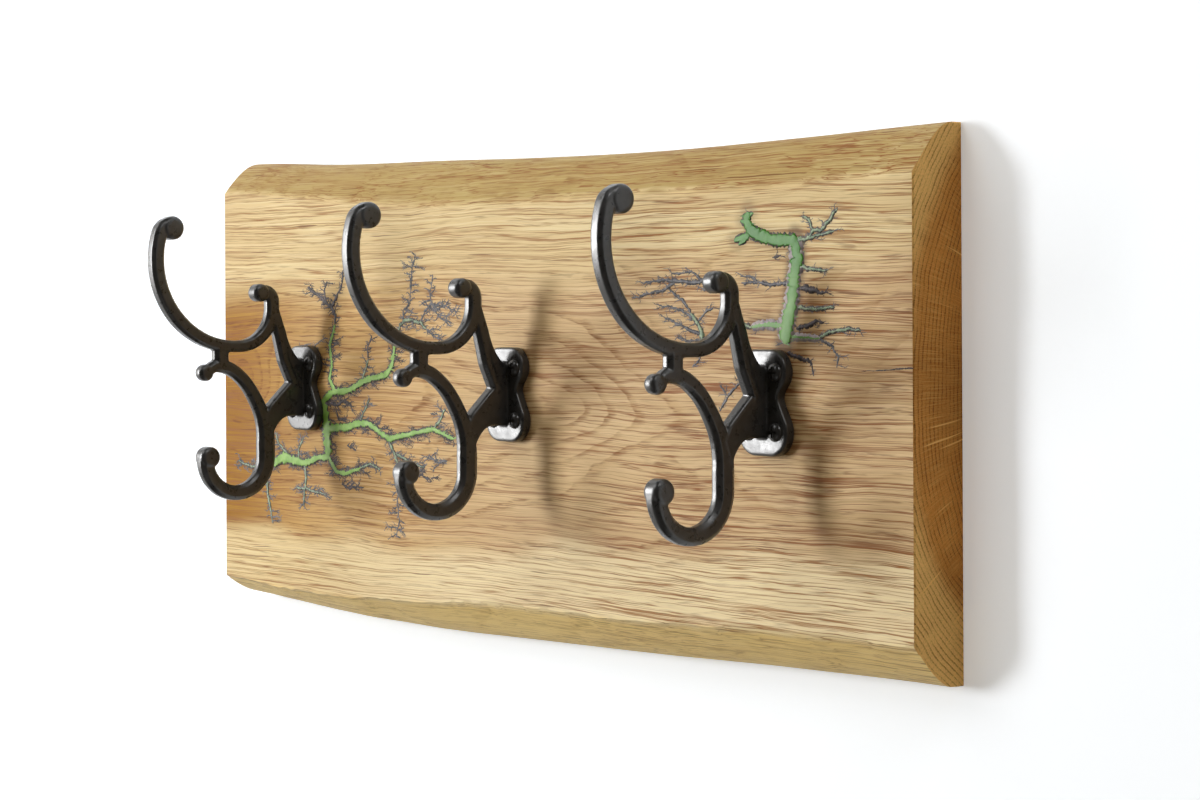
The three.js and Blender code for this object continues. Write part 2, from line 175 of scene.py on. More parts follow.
# %% Node helpers
class Nodes:
    """One node tree. Each method adds nodes to it and gives back their output."""

    def __init__(self, tree):
        self.tree = tree

    def give(self, socket, value):
        """Sets an input to a number or a colour, or links it to another node's output."""
        if isinstance(value, bpy.types.NodeSocket):
            self.tree.links.new(value, socket)
        else:
            socket.default_value = value

    def node(self, kind, inputs=None, **settings):
        made = self.tree.nodes.new(kind)
        for name, value in settings.items():
            setattr(made, name, value)
        for socket, value in (inputs or {}).items():
            self.give(made.inputs[socket], value)
        return made

    def shade(self, inputs):
        """Gives the tree's own shader its inputs."""
        shader = self.tree.nodes["Principled BSDF"]
        for socket, value in inputs.items():
            self.give(shader.inputs[socket], value)

    def place(self):
        return self.node("ShaderNodeTexCoord").outputs["Object"]

    def attribute(self, name):
        """What the mesh stores under this name at each corner."""
        return self.node("ShaderNodeAttribute", attribute_name=name).outputs["Fac"]

    def split(self, vector):
        return self.node("ShaderNodeSeparateXYZ", {0: vector}).outputs[:3]

    def combine(self, x, y=0.0, z=0.0):
        return self.node("ShaderNodeCombineXYZ", {0: x, 1: y, 2: z}).outputs[0]

    def stretch(self, vector, factors):
        return self.node("ShaderNodeVectorMath", {0: vector, 1: factors}, operation="MULTIPLY").outputs[0]

    def maths(self, operation, a, b=0.0, clamp=False):
        return self.node("ShaderNodeMath", {0: a, 1: b}, operation=operation, use_clamp=clamp).outputs[0]

    def add(self, *values):
        return functools.reduce(lambda a, b: self.maths("ADD", a, b), values)

    def times(self, *values, clamp=False):
        return functools.reduce(lambda a, b: self.maths("MULTIPLY", a, b, clamp), values)

    def opposite(self, value):
        return self.maths("SUBTRACT", 1.0, value)

    def step(self, value, low, high):
        """A soft step from 0 at low to 1 at high."""
        inputs = {"Value": value, "From Min": low, "From Max": high}
        return self.node("ShaderNodeMapRange", inputs, interpolation_type="SMOOTHSTEP").outputs[0]

    def hill(self, value, middle, width):
        """A bell curve that is 1 at the middle and fades over the width."""
        offset = self.maths("DIVIDE", self.maths("SUBTRACT", value, middle), width)
        return self.maths("EXPONENT", self.times(offset, offset, -1.0))

    def noise(self, vector, scale, detail, roughness=0.5, output="Fac"):
        inputs = {"Vector": vector, "Scale": scale, "Detail": detail, "Roughness": roughness}
        return self.node("ShaderNodeTexNoise", inputs).outputs[output]

    def field(self, where, along, across, detail, roughness=0.5, output="Fac"):
        """Noise that is stretched along the board."""
        return self.noise(self.stretch(where, (along, across, across)), 1.0, detail, roughness, output)

    def ramp(self, factor, stops):
        node = self.node("ShaderNodeValToRGB", {"Fac": factor})
        while len(node.color_ramp.elements) < len(stops):
            node.color_ramp.elements.new(0.5)
        for element, (place, colour) in zip(node.color_ramp.elements, stops):
            element.position = place
            element.color = colour
        return node.outputs["Color"]

    def black_white(self, value, low, high):
        return self.ramp(value, [(low, (0, 0, 0, 1)), (high, (1, 1, 1, 1))])

    def mix(self, factor, a, b):
        inputs = {0: factor, 6: a, 7: b}
        return self.node("ShaderNodeMix", inputs, data_type="RGBA", clamp_factor=True).outputs[2]

    def lay(self, under, colour, *strengths):
        """Lays a colour over another, as strong as the product of the strengths."""
        return self.mix(self.times(*strengths), under, colour)

    def bump(self, height, strength, distance):
        inputs = {"Height": height, "Strength": strength, "Distance": distance}
        return self.node("ShaderNodeBump", inputs).outputs[0]


def new_material(name):
    material = bpy.data.materials.new(name)
    material.use_nodes = True
    return material, Nodes(material.node_tree)


def rgb(red, green, blue):
    """A colour as seen on screen, from 0 to 255, as the linear colour that Blender wants."""
    linear = [((c / 255 + 0.055) / 1.055) ** 2.4 if c > 10 else c / 255 / 12.92 for c in (red, green, blue)]
    return (*linear, 1.0)


# %% [markdown]
# Oak has growth rings around a heart. This board was sawn far from it: at the right end the rings bulge
# towards the face, so the heart lies 115 mm behind the wall side. If the colour follows the distance to
# that line, the long wavy grain on the face and the arcs on the sawn ends come from one pattern and meet
# at the edges. Noise that is stretched along the board bends the rings, and much finer stretched noise
# gives the open pores, which show as dashes on the face and as dots on the ends.

# %% Rings of the oak
HEART_BEHIND = 0.115
RING = 0.0025


def oak_grain(n):
    """The patterns that the face and the ends of the board share."""
    place = n.place()
    x, y, z = n.split(place)

    def around_zero(value, amount):
        return n.times(n.maths("SUBTRACT", value, 0.5), amount)

    long_y, long_z = n.split(n.field(place, 3.0, 8, 2, output="Color"))[1:]
    short_y, short_z = n.split(n.field(place, 19, 55, 3, output="Color"))[1:]
    unrest = n.field(place, 48, 120, 2)
    depth = n.add(y, -HEART_BEHIND, around_zero(long_y, 0.020))
    # the heart line climbs towards the right end
    heart = n.add(n.times(n.step(x, 0.08, 0.32), 0.022), -0.006)
    height = n.add(n.maths("SUBTRACT", z, heart), around_zero(long_z, 0.022))
    reach = n.maths("SQRT", n.add(n.times(depth, depth), n.times(height, height)))
    reach = n.add(reach, around_zero(short_y, 0.0022), around_zero(unrest, 0.0011))
    # the grain dips between the middle and right hooks, which draws nested arches, and near the left end
    dip = n.times(n.step(x, 0.0, 0.17), n.hill(height, 0.0, 0.048), n.opposite(n.step(x, 0.16, 0.42)))
    between = n.times(n.step(x, -0.12, 0.0), n.opposite(n.step(x, 0.12, 0.24)))
    crease = n.maths("SQRT", n.add(0.00008, n.times(height, height)))
    crease = n.times(crease, n.hill(height, 0.0, 0.045))
    eye = n.times(n.hill(x, -0.278, 0.035), n.hill(z, 0.002, 0.024))
    reach = n.add(reach, n.times(dip, 0.011), n.times(between, crease, 0.30), n.times(eye, 0.012))

    # each ring starts with a thin band of large pores
    rings = n.maths("DIVIDE", reach, RING)
    year = n.noise(n.combine(n.maths("FLOOR", rings)), 3.7, 0)
    shades = ((0.0, 0), (0.07, 1), (0.20, 0.7), (0.38, 0.08), (1.0, 0))
    band = n.ramp(n.maths("FRACT", rings), [(place, (shade, shade, shade, 1)) for place, shade in shades])
    band = n.times(band, n.black_white(n.field(place, 11, 95, 4), 0.30, 0.56))
    band = n.times(band, n.add(n.times(year, 1.3), 0.25), clamp=True)

    swayed = n.add(z, n.times(short_z, 0.0038), n.times(long_z, 0.020), n.times(unrest, 0.0005))
    flow = n.combine(x, y, swayed)
    return SimpleNamespace(
        x=x, z=z, depth=depth, height=height, reach=reach, band=band, flow=flow,
        dash=n.field(flow, 60, 1150, 2, 0.55), clouds=n.black_white(n.field(place, 5, 22, 3), 0.40, 0.66),
    )


# %% [markdown]
# The ends are sawn across the grain: bands in arcs, pores as dots, and pale rays that run out from the
# heart.

# %% Sawn ends
END_OAK = {
    "pale": rgb(236, 188, 112), "warm": rgb(204, 138, 66), "band": rgb(98, 58, 26),
    "pore": rgb(70, 40, 18), "ray": rgb(236, 186, 106),
}


def end_pattern(n, grain):
    """The colour of the sawn ends, and how deep their pores are."""
    warm = n.opposite(n.step(grain.reach, 0.1500, 0.1640))
    base = n.mix(warm, END_OAK["pale"], END_OAK["warm"])
    base = n.lay(base, END_OAK["band"], grain.clouds, n.add(n.times(warm, 0.16), 0.12))
    base = n.lay(base, END_OAK["band"], grain.band, 0.72)
    pores = n.times(n.black_white(grain.dash, 0.46, 0.60), n.add(n.times(grain.band, 0.8), 0.2))
    base = n.lay(base, END_OAK["pore"], pores, 0.8)
    angle = n.maths("ARCTAN2", grain.height, grain.depth)
    for around, out, low, high, strength in ((420, 60, 0.50, 0.60, 0.28), (75, 20, 0.70, 0.75, 0.9)):
        rays = n.combine(n.times(grain.x, 20), n.times(angle, around), n.times(grain.reach, out))
        base = n.lay(base, END_OAK["ray"], n.black_white(n.noise(rays, 1.0, 1), low, high), strength)
    return base, pores


# %% [markdown]
# The face and the bark edges show the long grain. Fine brown lines run along the board, each with a pale
# side that is a painted highlight, as if each ripple of the grain caught the light, over a warm heartwood
# that turns golden and then amber towards the left end. The low part of the face is pale sapwood, painted
# lighter still, and the lower bark edge is painted lighter than the upper one: painted light that stands in
# for light from below. Arches and patches of open pores lie between the hooks. The burn figure browns the
# wood close to it.

# %% Face and bark edges
# The two lower colours are lighter partly as painted light from below. Cream, tan and amber tan colour the
# painted highlight beside each line.
FACE_OAK = {
    "pale": rgb(229, 205, 152), "lower": rgb(245, 226, 181), "warm": rgb(218, 188, 140),
    "gold": rgb(210, 172, 108), "amber": rgb(157, 107, 10), "wane": rgb(184, 160, 103),
    "lower_wane_painted_light": rgb(250, 221, 149), "cream": rgb(246, 230, 184), "tan": rgb(234, 206, 160),
    "amber_tan": rgb(201, 156, 46), "band": rgb(154, 106, 62), "line": rgb(146, 94, 54),
    "pale_line": rgb(158, 108, 58), "pore": rgb(118, 72, 40), "char": rgb(98, 77, 62),
}


def face_ground(n, x, below, warm, wane):
    """The broad colours of the face before any grain; the lower part is lighter, partly painted light."""
    tone = n.mix(n.step(x, -0.16, 0.02), FACE_OAK["gold"], FACE_OAK["warm"])
    tone = n.mix(n.step(x, -0.30, -0.16), FACE_OAK["amber"], tone)
    # the low part of the face is pale sapwood, made lighter still as painted light from below
    pale_sap_and_painted_light = n.mix(n.times(below, n.step(x, -0.25, 0.0)), FACE_OAK["pale"], FACE_OAK["lower"])
    # the lower bark edge is painted lighter than the upper one: painted light, standing in for light from
    # below
    edge = n.mix(below, FACE_OAK["wane"], FACE_OAK["lower_wane_painted_light"])
    return n.mix(wane, n.mix(warm, pale_sap_and_painted_light, tone), edge)


def face_pattern(n, grain):
    """The colour of the face and the bark edges, and how deep their pores and lines are."""
    x, z, band, flow = grain.x, grain.z, grain.band, grain.flow
    warm, wane, char = (n.attribute(name) for name in ("warm", "wane", "char"))
    below = n.step(z, 0.02, -0.02)
    calm = n.opposite(n.times(wane, below, 0.45))
    base = face_ground(n, x, below, warm, wane)
    base = n.lay(base, FACE_OAK["band"], grain.clouds, n.add(n.times(warm, 0.16), 0.12), calm)

    coarse, fine = n.field(flow, 3.4, 290, 2), n.field(flow, 7.5, 680, 2)
    strong = n.add(n.times(n.black_white(n.field(flow, 7, 34, 2, 0.55), 0.36, 0.62), 0.60), 0.42)
    right_side = n.step(x, 0.02, 0.16)
    # tan and gleam colour the pale side of each line: a painted highlight, as if the ripple of the grain
    # caught the light, weaker on the bark edges and stronger on the right
    tan = n.mix(n.step(x, -0.28, -0.12), FACE_OAK["amber_tan"], FACE_OAK["tan"])
    gleam = n.mix(warm, FACE_OAK["cream"], tan)
    gleaming = n.times(n.add(n.times(right_side, 0.25), 0.45), n.opposite(n.times(wane, 0.7)))
    base = n.lay(base, gleam, n.hill(coarse, 0.57, 0.036), n.times(strong, gleaming), calm)
    line = n.mix(n.add(warm, wane), FACE_OAK["pale_line"], FACE_OAK["line"])
    inked = n.add(n.times(right_side, 0.35), 0.85)
    base = n.lay(base, line, n.hill(coarse, 0.47, 0.018), n.times(strong, inked), calm)
    base = n.lay(base, line, n.hill(fine, 0.48, 0.022), n.times(inked, 0.80), calm)

    arches = n.times(n.hill(x, 0.085, 0.05), n.hill(z, -0.005, 0.045))
    arches = n.add(arches, n.times(n.hill(x, -0.275, 0.03), n.hill(z, 0.0, 0.040)))
    base = n.lay(base, FACE_OAK["band"], band, n.add(0.12, n.times(arches, 0.36)), calm)
    steady = n.opposite(n.times(n.step(x, 0.12, 0.20), 0.75))
    patches = n.times(n.black_white(n.field(flow, 22, 220, 2, 0.55), 0.50, 0.64), n.step(x, 0.08, 0.18))
    crowd = n.add(n.times(n.times(band, steady), 0.92), n.times(patches, 0.75), 0.08)
    crowd = n.times(crowd, n.add(n.times(warm, 0.45), 0.55))
    pores = n.times(n.black_white(grain.dash, 0.47, 0.60), crowd, clamp=True)
    base = n.lay(base, FACE_OAK["pore"], pores, 0.80, calm)
    # the rays show as long dark hairs
    hair = n.black_white(n.field(flow, 17, 620, 1), 0.705, 0.745)
    base = n.lay(base, FACE_OAK["pore"], hair, 0.75, calm)
    base = n.mix(char, base, FACE_OAK["char"])
    return base, n.add(pores, n.hill(coarse, 0.47, 0.03))


def oak(name, pattern, roughness):
    material, n = new_material(name)
    grain = oak_grain(n)
    base, relief = pattern(n, grain)
    n.shade({
        "Base Color": base, "Roughness": n.add(n.times(grain.band, 0.12), roughness),
        "Specular IOR Level": 0.06, "Normal": n.bump(n.opposite(relief), 0.2, 0.00015),
    })
    return material


face_oak = oak("oak_face", face_pattern, 0.48)
end_oak = oak("oak_end", end_pattern, 0.6)

# %% [markdown]
# The board starts as a box. A bevel with a round profile makes the two live edges, the face and the long
# edges are cut into a fine net, and then the net is drawn onto the measured heights of the live edges,
# as a sculptor would pull it. The sawn ends get a small chamfer.

# %% The board's net
LENGTH = 0.6
THICKNESS = 0.032
WANE = 0.026
HALF_BOX = 0.130
HALF_FACE = HALF_BOX - WANE
CHAMFER = 0.0007
CUTS_ACROSS = 95
CUTS_ALONG = (100, 2)
NEAR_FACE = -THICKNESS + 0.0001
FACE_TOP = [121, 113.5, 105, 102.5, 103.5, 102, 105]
CREST_TOP = [140.5, 135, 132, 128.5, 126.5, 127, 128.5]
FACE_BOTTOM = [-120, -122.5, -119.5, -114, -112.5, -108.5, -107]
CREST_BOTTOM = [-131.5, -136, -137, -135, -132.5, -129, -127]

start_clean()
bpy.ops.mesh.primitive_cube_add(size=1, location=(0, -THICKNESS / 2, 0))
board = bpy.context.object
board.name = "oak_board"
board.scale = (LENGTH - 2 * CHAMFER, THICKNESS, 2 * HALF_BOX)
apply_place(board)
bpy.ops.object.mode_set(mode="EDIT")


def runs_along_board(edge):
    a, b = edge.verts
    return abs(a.co.x - b.co.x) > 1e-4 and (a.co - b.co).cross(Vector((1, 0, 0))).length < 1e-6


select_where(lambda e: runs_along_board(e) and e.verts[0].co.y < NEAR_FACE, "edges")
bpy.ops.mesh.bevel(offset=WANE, segments=9, profile=0.5)
select_where(
    lambda e: abs(e.verts[0].co.x - e.verts[1].co.x) < 1e-6
    and max(e.verts[0].co.y, e.verts[1].co.y) < NEAR_FACE
    and abs(e.verts[0].co.z - e.verts[1].co.z) > HALF_FACE,
    "edges",
)
bpy.ops.mesh.subdivide(number_cuts=CUTS_ACROSS)
for cuts in CUTS_ALONG:
    select_where(runs_along_board, "edges")
    bpy.ops.mesh.subdivide(number_cuts=cuts)
chosen = select_where(lambda f: abs(f.normal.x) > 0.9 and len(f.verts) > 8, "faces")
bpy.ops.mesh.inset(thickness=CHAMFER, depth=CHAMFER)
bpy.ops.object.mode_set(mode="OBJECT")
print("board ends:", chosen, "vertices:", len(board.data.vertices))

# %% Pull the net onto the live edges
def line_height(line, x):
    """A smooth line through seven measured heights, as in the model."""
    share = (x / LENGTH + 0.5) * (len(line) - 1)
    i = np.clip(np.floor(share).astype(int), 0, len(line) - 2)
    t = share - i
    knots = np.array(line) / 1000
    p0 = knots[np.maximum(i - 1, 0)]
    p0 = np.where(i == 0, knots[0], p0)
    p1, p2 = knots[i], knots[i + 1]
    p3 = knots[np.minimum(i + 2, len(line) - 1)]
    v0, v1 = (p2 - p0) / 2, (p3 - p1) / 2
    return (2 * p1 - 2 * p2 + v0 + v1) * t**3 + (-3 * p1 + 3 * p2 - 2 * v0 - v1) * t**2 + v0 * t + p1


def fade(value, low, high):
    t = np.clip((value - low) / (high - low), 0, 1)
    return t * t * (3 - 2 * t)


def wobble(x, seed, pitch):
    """A soft random line along the board, between -1 and 1."""
    rng = np.random.default_rng(seed)
    count = int(LENGTH / pitch) + 4
    values = rng.uniform(-1, 1, count)
    share = (x + LENGTH / 2) / pitch + 1
    i = np.clip(np.floor(share).astype(int), 0, count - 2)
    t = fade(share - i, 0, 1)
    return values[i] * (1 - t) + values[i + 1] * t


def rough_height(line, x, seed):
    return line_height(line, x) + 0.0006 * wobble(x, seed, 0.021) + 0.0004 * wobble(x, seed + 1, 0.007)


def net_points(piece):
    points = np.zeros(len(piece.data.vertices) * 3)
    piece.data.vertices.foreach_get("co", points)
    return points.reshape(-1, 3)


points = net_points(board)
x, y, z = points.T.copy()
side = np.where(z >= 0, 1, -1)
rim_top, rim_bottom = rough_height(FACE_TOP, x, 3), rough_height(FACE_BOTTOM, x, 5)
rim = np.where(side > 0, rim_top, rim_bottom)
crest = np.where(side > 0, line_height(CREST_TOP, x), line_height(CREST_BOTTOM, x))
round_angle = np.clip(np.arctan2(np.abs(z) - HALF_FACE, -(y + THICKNESS - WANE)), 0, math.pi / 2)
on_face = (y < -THICKNESS + 1e-5)
on_wane = (np.abs(z) > HALF_FACE + 1e-6) & (y <= -THICKNESS + WANE + 1e-5)
share = (z + HALF_FACE) / (2 * HALF_FACE)
new_z = np.where(on_wane, rim + (crest - rim) * np.sin(round_angle), 0)
new_y = np.where(on_wane, -THICKNESS + WANE * round_angle / (math.pi / 2), y)
ridge = 0.0005 * wobble(x, 7, 0.034) * np.sin(2 * round_angle)
new_z = np.where(on_wane, new_z + side * ridge - 0.0004 * side * np.sin(2 * round_angle), new_z)
new_z = np.where(on_face & ~on_wane, rim_bottom + (rim_top - rim_bottom) * share, new_z)
new_z = np.where(~on_face & ~on_wane, crest * np.abs(z) / HALF_BOX, new_z)
points[:, 1], points[:, 2] = new_y, new_z
board.data.vertices.foreach_set("co", points.reshape(-1))
board.data.update()
print("board height:", new_z.min(), new_z.max())

# %% [markdown]
# The back carries two keyhole hangers, each let into a recess with a deeper hollow for the head of the
# wall screw. A straight cutter with round ends makes each pocket, and a boolean takes it out.

# %% Recesses in the back
def rounded_strap(name, centre, length, width, from_y, to_y):
    """A bar with round ends that stands in the XZ plane: a circle, drawn out and thickened."""
    sides = 32
    start_clean()
    bpy.ops.mesh.primitive_circle_add(
        vertices=sides, radius=width / 2, fill_type="NGON", rotation=(math.pi / 2, 0, 0),
        location=(centre[0], from_y, centre[1]),
    )
    strap = bpy.context.object
    strap.name = name
    apply_place(strap)
    edit_all(strap)
    middle = (centre[0], 0, centre[1])
    bpy.ops.transform.rotate(value=math.pi / sides, orient_axis="Y", center_override=middle)
    for direction in (1, -1):
        select_where(lambda v: direction * (v.co.z - centre[1]) > 1e-6)
        bpy.ops.transform.translate(value=(0, 0, direction * (length - width) / 2))
    bpy.ops.mesh.select_all(action="SELECT")
    bpy.ops.mesh.extrude_region_move(TRANSFORM_OT_translate={"value": (0, to_y - from_y, 0)})
    turn_outwards()
    bpy.ops.object.mode_set(mode="OBJECT")
    return strap


def cut(piece, cutter, operation="DIFFERENCE"):
    start_clean()
    apply_modifier(piece, "BOOLEAN", object=cutter, operation=operation, solver="EXACT")
    bpy.data.objects.remove(cutter)


HANGER_X = (-0.2, 0.2)
HANGER_Z = 0.068
# each pocket: its length, its width, where its cutter starts and how deep it goes
POCKETS = {"bed": (0.0546, 0.0186, 0.001, -0.0023), "hollow": (0.026, 0.013, 0.0005, -0.012)}
for hanger_x in HANGER_X:
    for name, pocket in POCKETS.items():
        cut(board, rounded_strap(name, (hanger_x, HANGER_Z), *pocket))
print("board after the recesses:", len(board.data.vertices))

# %% [markdown]
# The burn figure is what high voltage leaves in wood: a few thick channels that fork into ever finer
# charred twigs. Its main lines are given here, as (x, z) in millimetres on the face with a width.
# The resin fills the thick channels, and the thin ones stay dark.

# %% Main lines of the burn figure
LEFT_CHANNELS = [
    [(-186, -6, 5.2), (-183.5, -14, 7.2), (-182.5, -22, 8.6), (-181.5, -30, 8.6), (-180, -41, 5.6)],
    [(-186, -7.5, 4.8), (-176, -2.5, 4), (-158, -0.5, 3.4), (-138, 6, 3.4), (-118, 9, 3.2),
     (-112.5, 15, 2.8), (-110, 25, 2.2), (-107, 32, 1.9)],
    [(-173, -1.5, 3), (-179, 6, 2.4), (-176, 13, 2), (-178, 26, 2), (-172, 38, 1.4)],
    [(-182, -23.5, 5), (-160, -22.5, 3.8), (-146, -19.5, 3.8), (-137, -20, 3.4), (-116, -28, 3.2),
     (-96, -24.5, 2.6), (-72, -21, 2.4), (-52, -26, 1.6)],
    [(-180, -41, 4.2), (-190, -41.5, 3.4), (-208, -45.5, 4), (-224, -43.5, 6), (-233, -43.5, 6.6),
     (-243, -48, 3)],
    [(-180, -41, 3.2), (-172, -49, 2.2), (-162, -50, 2.4), (-146, -46, 1.4)],
]
RIGHT_CHANNELS = [
    [(191, 91, 5.2), (190, 87, 3.4), (192, 83, 5.2), (199, 79.5, 5.2), (208, 77, 5), (218, 77, 5),
     (225, 75.5, 6)],
    [(181, 77.5, 2.2), (192, 80, 3.6)],
    [(185.5, 87, 1.6), (190, 86.5, 2.6)],
    [(194.5, 90.5, 1.4), (191.5, 89, 2.4)],
    [(184, 75.5, 1.2), (190, 79, 2.2)],
    [(223.5, 77, 5.8), (225, 68, 7.0), (222, 56, 6.8), (221, 46, 6.8), (218, 37, 8.4), (216, 28, 5.6)],
    [(218, 36, 3), (205, 37, 2), (193, 36, 1.4)],
    [(218, 31, 1.8), (228, 31, 0.9), (240, 30.5, 0.7)],
]
# The thinner lines: a tone from 0, black, over 1, blue grey, to 2, grey green, then their points
LEFT_LINES = [
    (0, [(-172, 38, 1.6), (-171.5, 44, 1.8), (-177, 49, 1.8), (-184, 52, 1.6), (-192, 56, 1.4),
         (-203, 60, 1)]),
    (0, [(-176, 48, 1.6), (-170, 54, 1.6), (-165, 62, 1.4), (-163, 70, 1)]),
    (0, [(-182, 51, 1.4), (-184, 58, 1.2), (-181, 64, 0.8)]),
    (2, [(-145, 3.5, 1.6), (-140, 12, 1.4), (-137, 18, 1.2)]),
    (0, [(-137, 18, 1.2), (-137, 25, 1), (-133, 32, 0.8)]),
    (2, [(-116, -28, 2.2), (-111, -36, 1.8), (-104, -46, 1.8), (-101, -54, 1.2)]),
    (2, [(-110, -36, 1.5), (-97, -40, 1.3), (-80, -43, 1)]),
    (0, [(-97, -40, 1), (-88, -47, 1), (-74, -50, 0.8)]),
    (2, [(-72, -21, 1.8), (-65, -16, 1.6), (-60, -9, 1.2)]),
    (1, [(-107, -54, 1.2), (-108, -64, 1.2), (-106, -74, 1), (-109, -84, 0.8)]),
    (2, [(-207, -46, 1.8), (-205, -55, 1.6), (-207, -63, 1.4), (-208, -72, 0.8)]),
    (2, [(-206, -61, 1.2), (-196, -62, 1.1), (-183, -63, 0.8)]),
    (2, [(-206, -61, 1.2), (-213, -61, 1), (-217, -60, 0.8)]),
    (2, [(-246, -50, 2.2), (-250, -58, 2.4), (-249, -67, 2), (-246, -76, 1.4), (-243, -84, 0.8)]),
    (2, [(-214, -43, 1.4), (-213, -36, 1.2), (-208, -30, 1)]),
    (2, [(-238, -46, 2.6), (-255, -50, 2), (-270, -50, 1.4), (-284, -47, 0.8)]),
    (2, [(-226, -41, 1.6), (-237, -34, 1.2), (-240, -27, 0.8)]),
    (2, [(-146, -46, 1.4), (-135, -43, 1.3), (-125, -46, 0.9)]),
    (2, [(-107, 32, 1.8), (-104, 37, 1.7), (-100, 40, 1.8), (-92, 40.5, 1.8), (-84, 39, 1.6),
         (-78, 35, 1.3)]),
    (1, [(-78, 35, 1.3), (-70, 31, 1.2), (-60, 28, 0.8)]),
    (1, [(-101, 40, 1.4), (-101, 46, 1.3), (-94, 50, 1.3), (-93, 58, 1.2), (-92, 68, 1), (-88, 78, 0.7)]),
    (1, [(-84, 39, 1.4), (-80, 45, 1.4), (-73, 49, 1.4), (-62, 48, 1.1), (-48, 45, 0.8)]),
    (1, [(-73, 49, 1.2), (-74, 56, 1.1), (-72, 66, 0.8)]),
    (1, [(-73, 49, 1.1), (-66, 42, 1), (-54, 39, 0.8)]),
    (0, [(-178, -9, 1.4), (-170, -10, 1.3), (-163, -7, 1.2), (-155, -9, 0.8)]),
    (0, [(-172, -12, 1.1), (-169, -18, 1), (-160, -18, 0.8)]),
    (0, [(-168, -8, 1), (-165, -2, 0.8)]),
    (2, [(-146, -19.5, 1.2), (-141, -12, 1.2), (-136, -5, 0.8)]),
    (0, [(-160, -33, 1), (-150, -36, 0.8)]),
    (1, [(-215, 24, 1), (-206, 26, 1.1), (-198, 24, 1), (-190, 27, 0.8)]),
    (0, [(-166, -56, 1), (-158, -58, 1), (-146, -57, 0.8)]),
    (1, [(-58, -38, 1), (-66, -40, 1.1), (-76, -36, 0.8)]),
]
RIGHT_LINES = [
    (2, [(225, 76, 2.6), (232, 77, 1.8), (236, 81, 1.6), (241, 80.5, 1.5), (247, 86, 1.4), (252, 91, 1)]),
    (2, [(232, 77, 1.6), (240, 79, 1.2), (250, 80, 0.9)]),
    (2, [(236, 81, 1.5), (233, 86, 1.2), (228, 88, 0.8)]),
    (2, [(193, 36, 2), (188, 36.5, 2), (180, 37.5, 1.2)]),
    (2, [(158, 27, 3), (157, 33, 2.8), (154, 38, 2.4), (149, 43, 2)]),
    (1, [(149, 43, 2), (144, 48, 1.7), (138, 52, 1.4), (131, 55, 0.9)]),
    (1, [(152, 40, 1.6), (142, 44, 1.6), (134, 46, 1.3), (126, 47, 0.8)]),
    (1, [(156, 33, 1.7), (148, 34, 1.6), (138, 38, 1.4), (128, 41, 0.8)]),
    (1, [(156, 30, 1.3), (147, 29, 1.2), (138, 31, 0.8)]),
    (1, [(154, 39, 1.3), (160, 43, 1.2), (166, 46, 0.8)]),
    (1, [(176, 58, 2), (166, 59, 2.2), (154, 58, 2.2), (141, 58.5, 2), (127, 60, 1.7), (112, 58, 0.9)]),
    (1, [(137, 58, 1.6), (128, 54, 1.7), (118, 53, 1.4), (103, 51, 0.8)]),
    (1, [(157, 59, 1.5), (150, 63, 1.3), (134, 62.5, 0.8)]),
    (1, [(178, 52, 2.4), (170, 54, 1.8), (160, 54, 1.2), (154, 55, 0.8)]),
    (1, [(222, 57, 2), (207, 56, 1.8), (198, 57, 1.5), (186, 57, 0.9)]),
    (1, [(198, 57, 1.2), (194, 60, 1), (185, 60, 0.7)]),
    (2, [(240, 31, 1.5), (247, 34, 1.6), (260, 35, 1.1), (267, 34, 0.7)]),
    (1, [(240, 30.5, 1.5), (248, 27, 1.4), (252, 22, 1.2), (251, 17, 0.8)]),
    (0, [(224, 53.5, 1.2), (232, 54, 2.2), (240, 52, 1.3), (246, 52, 0.7)]),
    (2, [(224, 45, 1.3), (236, 44.5, 1.8), (250, 45, 0.8)]),
    (0, [(224, 35, 1), (232, 37, 1.7), (238, 38.5, 1.1), (243, 38, 0.7)]),
    (0, [(218, 24, 1.4), (228, 21, 1.5), (234, 20, 1), (236, 13, 0.8)]),
    (2, [(226, 64, 2), (236, 63, 1.4), (246, 62, 0.7)]),
    (1, [(170, -5, 1.2), (176, 3, 1.4), (184, 9, 1.2), (190, 14, 0.8)]),
    (1, [(176, 3, 1), (170, 8, 0.8)]),
    (1, [(150, 16, 1.1), (155, 20, 1.2), (156, 26, 1.4)]),
    (0, [(208, 69, 0.8), (214, 70, 0.8)]),
]
CRACK = [(300, 17.4, 0.6), (290, 17.0, 0.7), (281, 16.3, 0.5), (267, 15.8, 0.2)]
print("channels and lines:", len(LEFT_CHANNELS + RIGHT_CHANNELS), len(LEFT_LINES + RIGHT_LINES))

# %% [markdown]
# Real burn marks never run smooth. Each line is cut into steps of under a millimetre, pushed sideways a
# little, and given a restless width. Side twigs then leave it to both sides and fork again. One seeded
# random source makes them, so the figure is the same in each run.

# %% Grow the twigs
def roughened(run, step, sway, rng):
    """Steps along a run of (x, z, width) with a small random sideways sway."""
    steps = []
    side_step = 0.0
    for a, b in zip(run, run[1:]):
        a, b = np.array(a, float), np.array(b, float)
        along = b[:2] - a[:2]
        length = np.hypot(*along)
        across = np.array((-along[1], along[0])) / length
        count = max(2, int(length / step))
        for i in range(count):
            side_step = 0.75 * side_step + rng.uniform(-sway, sway)
            here = a + (b - a) * i / count
            steps.append((*(here[:2] + across * side_step), here[2]))
    steps.append(tuple(run[-1]))
    return steps


